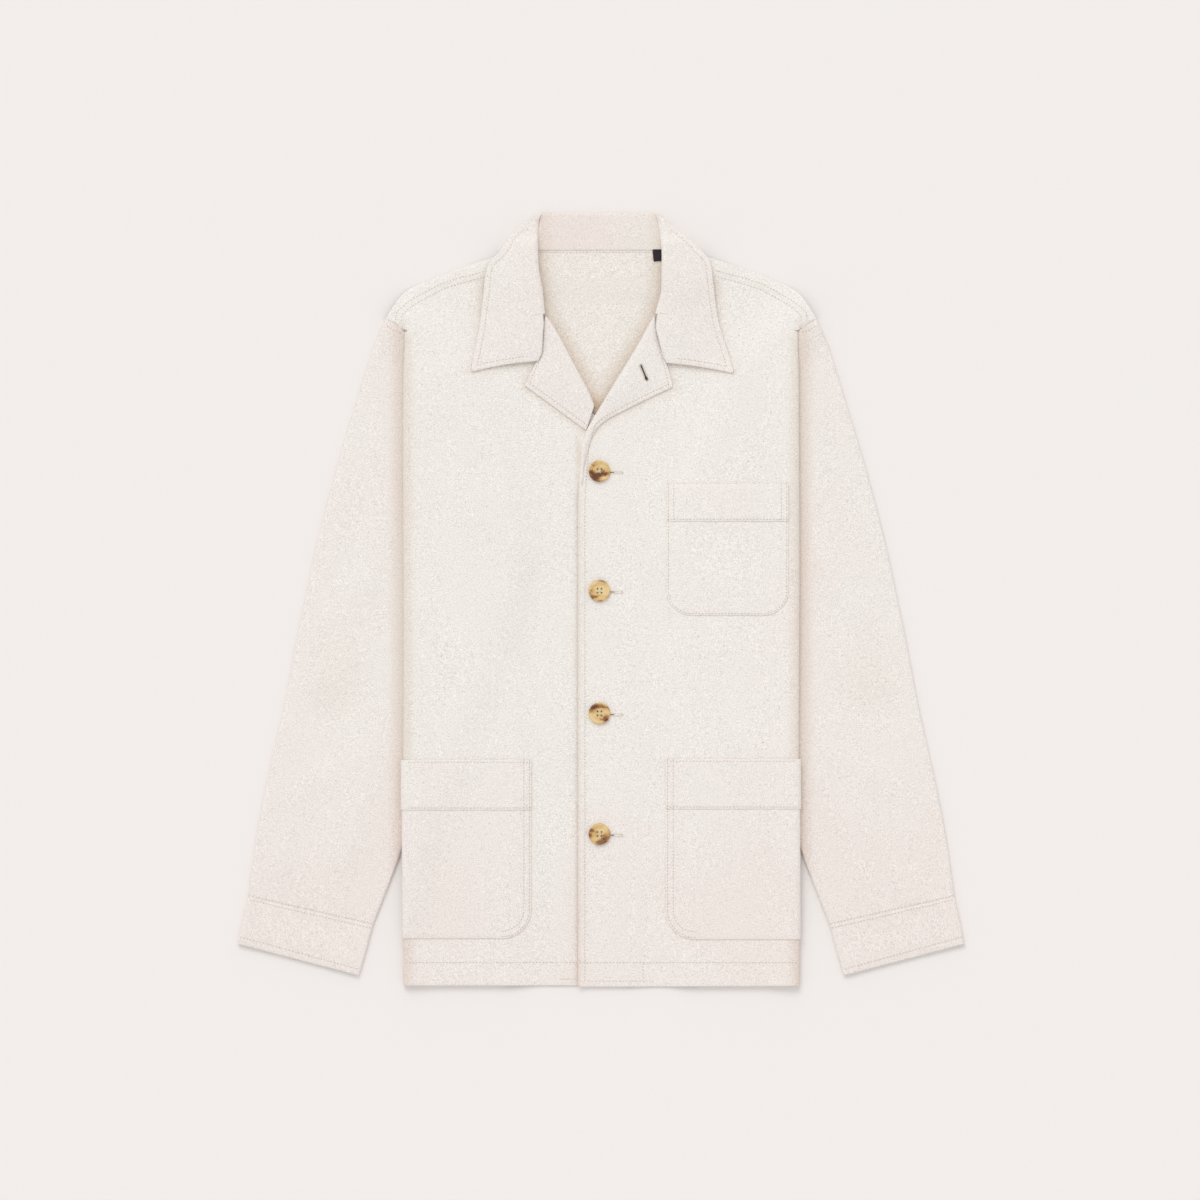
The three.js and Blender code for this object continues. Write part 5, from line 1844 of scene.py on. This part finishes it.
@dataclass(frozen=True)
class ClothFinish:
    """Unbleached cotton twill: grain, flecks and slow changes of tone."""

    name: str
    colour: tuple[float, float, float]
    warm: float = 0.0
    turn: float = 0.0
    streaks: float = 0.0
    bump: float = 0.5

    def make(self, grain: bpy.types.NodeTree) -> bpy.types.Material:
        """Make the material.

        Args:
            grain: Shader group of the weave.
        Returns:
            The material.
        """
        material = bpy.data.materials.new(self.name)
        material.use_nodes = True
        nodes, links = material.node_tree.nodes, material.node_tree.links
        shader = nodes["Principled BSDF"]
        shader.inputs["Roughness"].default_value = 0.92
        shader.inputs["Specular IOR Level"].default_value = 0.25
        shader.inputs["Sheen Weight"].default_value = 0.15
        shader.inputs["Sheen Roughness"].default_value = 0.6
        where = nodes.new("ShaderNodeTexCoord")
        turn = nodes.new("ShaderNodeMapping")
        turn.inputs["Rotation"].default_value = (0, 0, self.turn)
        group = nodes.new("ShaderNodeGroup")
        group.node_tree = grain
        group.inputs["Colour"].default_value = (*self.colour, 1)
        group.inputs["Streaks"].default_value = self.streaks
        group.inputs["Warm"].default_value = self.warm
        # Painted shade, read from the mesh's tone attribute
        tone = nodes.new("ShaderNodeAttribute")
        tone.attribute_name = "tone"
        links.new(tone.outputs["Fac"], group.inputs["Tone"])
        bump = nodes.new("ShaderNodeBump")
        bump.inputs["Strength"].default_value = self.bump
        bump.inputs["Distance"].default_value = 0.0006
        links.new(where.outputs["Object"], turn.inputs["Vector"])
        links.new(where.outputs["Object"], group.inputs["Place"])
        links.new(turn.outputs["Vector"], group.inputs["Vector"])
        links.new(group.outputs["Colour"], shader.inputs["Base Color"])
        links.new(group.outputs["Height"], bump.inputs["Height"])
        links.new(bump.outputs["Normal"], shader.inputs["Normal"])
        return material


def group_tree(name: str, inputs: Sequence[tuple[str, str]],
               outputs: Sequence[tuple[str, str]]) -> bpy.types.NodeTree:
    """Start a shader group with its sockets.

    Args:
        name: Name of the group.
        inputs: Names and kinds of the inputs.
        outputs: Names and kinds of the outputs.
    Returns:
        The group's tree, with its input and output nodes.
    """
    tree = bpy.data.node_groups.new(name, "ShaderNodeTree")
    for socket, kind in inputs:
        tree.interface.new_socket(socket, in_out="INPUT", socket_type=kind)
    for socket, kind in outputs:
        tree.interface.new_socket(socket, in_out="OUTPUT", socket_type=kind)
    tree.nodes.new("NodeGroupInput")
    tree.nodes.new("NodeGroupOutput")
    return tree


def maths(tree: bpy.types.NodeTree, operation: str, *values: object) -> bpy.types.NodeSocket:
    """Add a maths node.

    Args:
        tree: Tree that it goes into.
        operation: What it does.
        values: Sockets or numbers, in order.
    Returns:
        Its result.
    """
    node = tree.nodes.new("ShaderNodeMath")
    node.operation = operation
    for k, value in enumerate(values):
        if isinstance(value, bpy.types.NodeSocket):
            tree.links.new(value, node.inputs[k])
        else:
            node.inputs[k].default_value = float(value)
    return node.outputs[0]


def noise(tree: bpy.types.NodeTree, vector: bpy.types.NodeSocket, scale: float, detail: float,
          stretch: tuple[float, float, float] = (1, 1, 1)) -> bpy.types.NodeSocket:
    """Add a noise texture, stretched if wanted.

    Args:
        tree: Tree that it goes into.
        vector: Coordinates.
        scale: Cells to a metre.
        detail: Finer layers.
        stretch: Factors of the coordinates.
    Returns:
        Its value.
    """
    shape = tree.nodes.new("ShaderNodeMapping")
    shape.inputs["Scale"].default_value = stretch
    texture = tree.nodes.new("ShaderNodeTexNoise")
    texture.inputs["Scale"].default_value = scale
    texture.inputs["Detail"].default_value = detail
    tree.links.new(vector, shape.inputs["Vector"])
    tree.links.new(shape.outputs["Vector"], texture.inputs["Vector"])
    return texture.outputs["Fac"]


def cloth_grain() -> bpy.types.NodeTree:
    """Shader group of the cloth: colour with grain, flecks, warmth and painted shade from the tone attribute,
    and the weave's height.

    Returns:
        The shader group.
    """
    tree = group_tree("cloth_grain", [("Vector", "NodeSocketVector"), ("Colour", "NodeSocketColor"),
                                      ("Warm", "NodeSocketFloat"), ("Streaks", "NodeSocketFloat"),
                                      ("Tone", "NodeSocketFloat"), ("Place", "NodeSocketVector")],
                      [("Colour", "NodeSocketColor"), ("Height", "NodeSocketFloat")])
    given, result = tree.nodes["Group Input"], tree.nodes["Group Output"]
    vector = given.outputs["Vector"]

    def varied(value: bpy.types.NodeSocket, amount: float | bpy.types.NodeSocket) -> bpy.types.NodeSocket:
        """Noise value about 0, times an amount."""
        return maths(tree, "MULTIPLY", maths(tree, "SUBTRACT", value, 0.5), amount)

    fine = noise(tree, vector, 1150, 0)
    weave = noise(tree, vector, 620, 1, (1, 0.45, 1))
    cross = noise(tree, vector, 620, 1, (0.3, 1.3, 1))
    slub = noise(tree, vector, 420, 2, (0.2, 2.2, 1))
    slow = noise(tree, vector, 8, 3)
    patch = noise(tree, vector, 60, 2)
    spots = noise(tree, vector, 560, 0)
    tone = maths(tree, "ADD", varied(fine, 0.56), varied(weave, 0.12))
    for value, amount in ((cross, 0.12), (slow, 0.05), (patch, 0.02), (slub, given.outputs["Streaks"])):
        tone = maths(tree, "ADD", tone, varied(value, amount))
    fleck = maths(tree, "MULTIPLY", maths(tree, "GREATER_THAN", spots, 0.80), 0.20)
    tone = maths(tree, "SUBTRACT", maths(tree, "ADD", tone, 1.0), fleck)
    warm = maths(tree, "ADD", maths(tree, "ADD", varied(slow, 2.2), 0.4), given.outputs["Warm"])
    place = tree.nodes.new("ShaderNodeSeparateXYZ")
    tree.links.new(given.outputs["Place"], place.inputs[0])
    low = maths(tree, "MULTIPLY", maths(tree, "SUBTRACT", -0.12, place.outputs["Y"]), 4.2)
    low = maths(tree, "MINIMUM", maths(tree, "MAXIMUM", low, 0.0), 0.8)
    warm = maths(tree, "ADD", warm, low)
    warm = maths(tree, "MINIMUM", maths(tree, "MAXIMUM", warm, 0.0), 1.0)
    scales = tree.nodes.new("ShaderNodeCombineXYZ")
    # Painted shade: the tone attribute darkens each channel by its depth, most in blue
    for axis, warmth, shade_depth in (("X", 0.015, 0.10), ("Y", 0.062, 0.148), ("Z", 0.056, 0.193)):
        down = maths(tree, "ADD", maths(tree, "MULTIPLY", warm, warmth),
                     maths(tree, "MULTIPLY", given.outputs["Tone"], shade_depth))
        tree.links.new(maths(tree, "MULTIPLY", maths(tree, "SUBTRACT", 1.0, down), tone), scales.inputs[axis])
    mix = tree.nodes.new("ShaderNodeVectorMath")
    mix.operation = "MULTIPLY"
    tree.links.new(given.outputs["Colour"], mix.inputs[0])
    tree.links.new(scales.outputs[0], mix.inputs[1])
    tree.links.new(mix.outputs[0], result.inputs["Colour"])
    height = maths(tree, "ADD", maths(tree, "MULTIPLY", weave, 0.6), maths(tree, "MULTIPLY", fine, 0.4))
    tree.links.new(height, result.inputs["Height"])
    return tree


def plain_finish(name: str, colour: tuple[float, float, float], roughness: float) -> bpy.types.Material:
    """Make a material of one colour.

    Args:
        name: Its name.
        colour: Linear colour.
        roughness: Its roughness.
    Returns:
        The material.
    """
    material = bpy.data.materials.new(name)
    material.use_nodes = True
    shader = material.node_tree.nodes["Principled BSDF"]
    shader.inputs["Base Color"].default_value = (*colour, 1)
    shader.inputs["Roughness"].default_value = roughness
    return material


def horn_finish() -> bpy.types.Material:
    """Make the horn: tan and yellow with dark brown patches.

    Returns:
        The material.
    """
    material = plain_finish("horn", (0.6, 0.4, 0.15), 0.32)
    tree = material.node_tree
    where = tree.nodes.new("ShaderNodeTexCoord")
    value = noise(tree, where.outputs["Object"], 75, 3, (1, 1.6, 1))
    ramp = tree.nodes.new("ShaderNodeValToRGB")
    stops = ((0.33, (0.13, 0.040, 0.014)), (0.41, (0.36, 0.16, 0.050)), (0.47, (0.66, 0.43, 0.16)),
             (0.62, (0.82, 0.62, 0.32)))
    while len(ramp.color_ramp.elements) < len(stops):
        ramp.color_ramp.elements.new(0.5)
    for element, (at, colour) in zip(ramp.color_ramp.elements, stops):
        element.position = at
        element.color = (*colour, 1)
    tree.links.new(value, ramp.inputs["Fac"])
    tree.links.new(ramp.outputs["Color"], tree.nodes["Principled BSDF"].inputs["Base Color"])
    return material


@dataclass(frozen=True)
class Studio:
    """Pale floor, even light and the camera straight above."""

    floor: tuple[float, float, float] = (0.90, 0.872, 0.860)
    width: float = 1.1724
    centre: tuple[float, float] = (-0.0012, -0.0007)
    reach: float = 4.0
    low: float = -0.0002
    brightness: float = 0.79
    sun_energy: float = 0.8
    sun_spread: float = 34
    camera_height: float = 3

    def build(self) -> None:
        """Build the floor, the light and the camera."""
        mesh = bpy.data.meshes.new("floor")
        size, low = self.reach, self.low
        mesh.from_pydata([(-size, -size, low), (size, -size, low), (size, size, low), (-size, size, low)],
                         [], [(0, 1, 2, 3)])
        mesh.materials.append(plain_finish("paper", self.floor, 0.9))
        ground = bpy.data.objects.new("floor", mesh)
        bpy.context.scene.collection.objects.link(ground)
        world = bpy.data.worlds.new("studio")
        world.use_nodes = True
        world.node_tree.nodes["Background"].inputs["Color"].default_value = (1.0, 0.985, 0.965, 1)
        world.node_tree.nodes["Background"].inputs["Strength"].default_value = self.brightness
        bpy.context.scene.world = world
        bpy.context.scene.view_settings.view_transform = "Standard"
        lamp = bpy.data.lights.new("softbox", "SUN")
        lamp.angle, lamp.energy = math.radians(self.sun_spread), self.sun_energy
        light = bpy.data.objects.new("softbox", lamp)
        light.location = (-0.5, 1.5, 1.9)
        light.rotation_euler = (Vector((0, 0, 0)) - light.location).to_track_quat("-Z", "Y").to_euler()
        bpy.context.scene.collection.objects.link(light)
        camera = bpy.data.cameras.new("camera")
        camera.type, camera.ortho_scale = "ORTHO", self.width
        camera.clip_end = 20
        view = bpy.data.objects.new("camera", camera)
        view.location = (*self.centre, self.camera_height)
        bpy.context.scene.collection.objects.link(view)
        bpy.context.scene.camera = view


@dataclass
class Jacket:
    """The whole garment."""

    def build(self) -> list[bpy.types.Object]:
        """Build every piece with its finish.

        Returns:
            Every piece.
        """
        grain = cloth_grain()
        ecru = (0.880, 0.851, 0.813)
        body = ClothFinish("twill_body", ecru, -0.42).make(grain)
        turned = ClothFinish("twill_turned", ecru, 0.1, math.radians(48)).make(grain)
        pocket_cloth = ClothFinish("twill_pockets", ecru, -0.2).make(grain)
        cuff = ClothFinish("twill_cuffs", ecru, 0.0, math.radians(76), 0.14).make(grain)
        sleeve = {side: ClothFinish(f"twill_sleeve_{side.name.lower()}", ecru, 0.02,
                                    math.radians(-side.value * 14)).make(grain) for side in Side}
        horn, thread = horn_finish(), plain_finish("thread", (0.60, 0.49, 0.395), 0.7)
        made = Body(body).build()
        for side in Side:
            made += Sleeve(side, sleeve[side], cuff).build()
            made.append(Lapel(side, turned).build())
        made.append(Collar(turned).build())
        pockets = (Pocket("chest_pocket", 64.3, 182.5, 112.6, -15.3, 24, 36, pocket_cloth),
                   Pocket("pocket_right", -192, -68.6, -157.5, -331, 28, 48, pocket_cloth),
                   Pocket("pocket_left", 63.3, 192, -156.5, -332, 28, 48, pocket_cloth))
        for pocket in pockets:
            made += pocket.build()
        pale = plain_finish("pale_thread", (0.78, 0.71, 0.63), 0.7)
        # Near-black painted shade for the open buttonhole slits
        dark = plain_finish("buttonhole_shade", (0.10, 0.055, 0.035), 0.9)
        made += Seams(Surface(made), thread, pale, dark).build(pockets)
        label = NeckLabel(plain_finish("aubergine", (0.018, 0.010, 0.016), 0.8)).build()
        buttons = [Button(number, y, horn).build() for number, y in enumerate(BUTTON_ROWS, 1)]
        hole = Button.hole_spacing
        crosses = [[(BUTTON_X - hole, y - hole * turn), (BUTTON_X + hole, y + hole * turn)]
                   for y in BUTTON_ROWS for turn in (-1, 1)]
        made.append(Stitching("button_thread", crosses, pale, Surface([*made, *buttons]), stitch_tree(),
                              pitch=0.35, length=1.3, width=0.75, seed=51, step=0.45).build())
        return [*made, *buttons, label]


def main() -> None:
    """Build the studio and the jacket."""
    logging.basicConfig(level=logging.INFO, format="%(name)s: %(message)s")
    Studio().build()
    for obj in Jacket().build():
        LOG.info("%s: %d faces", obj.name, len(obj.data.polygons))


if __name__ == "__main__":
    main()
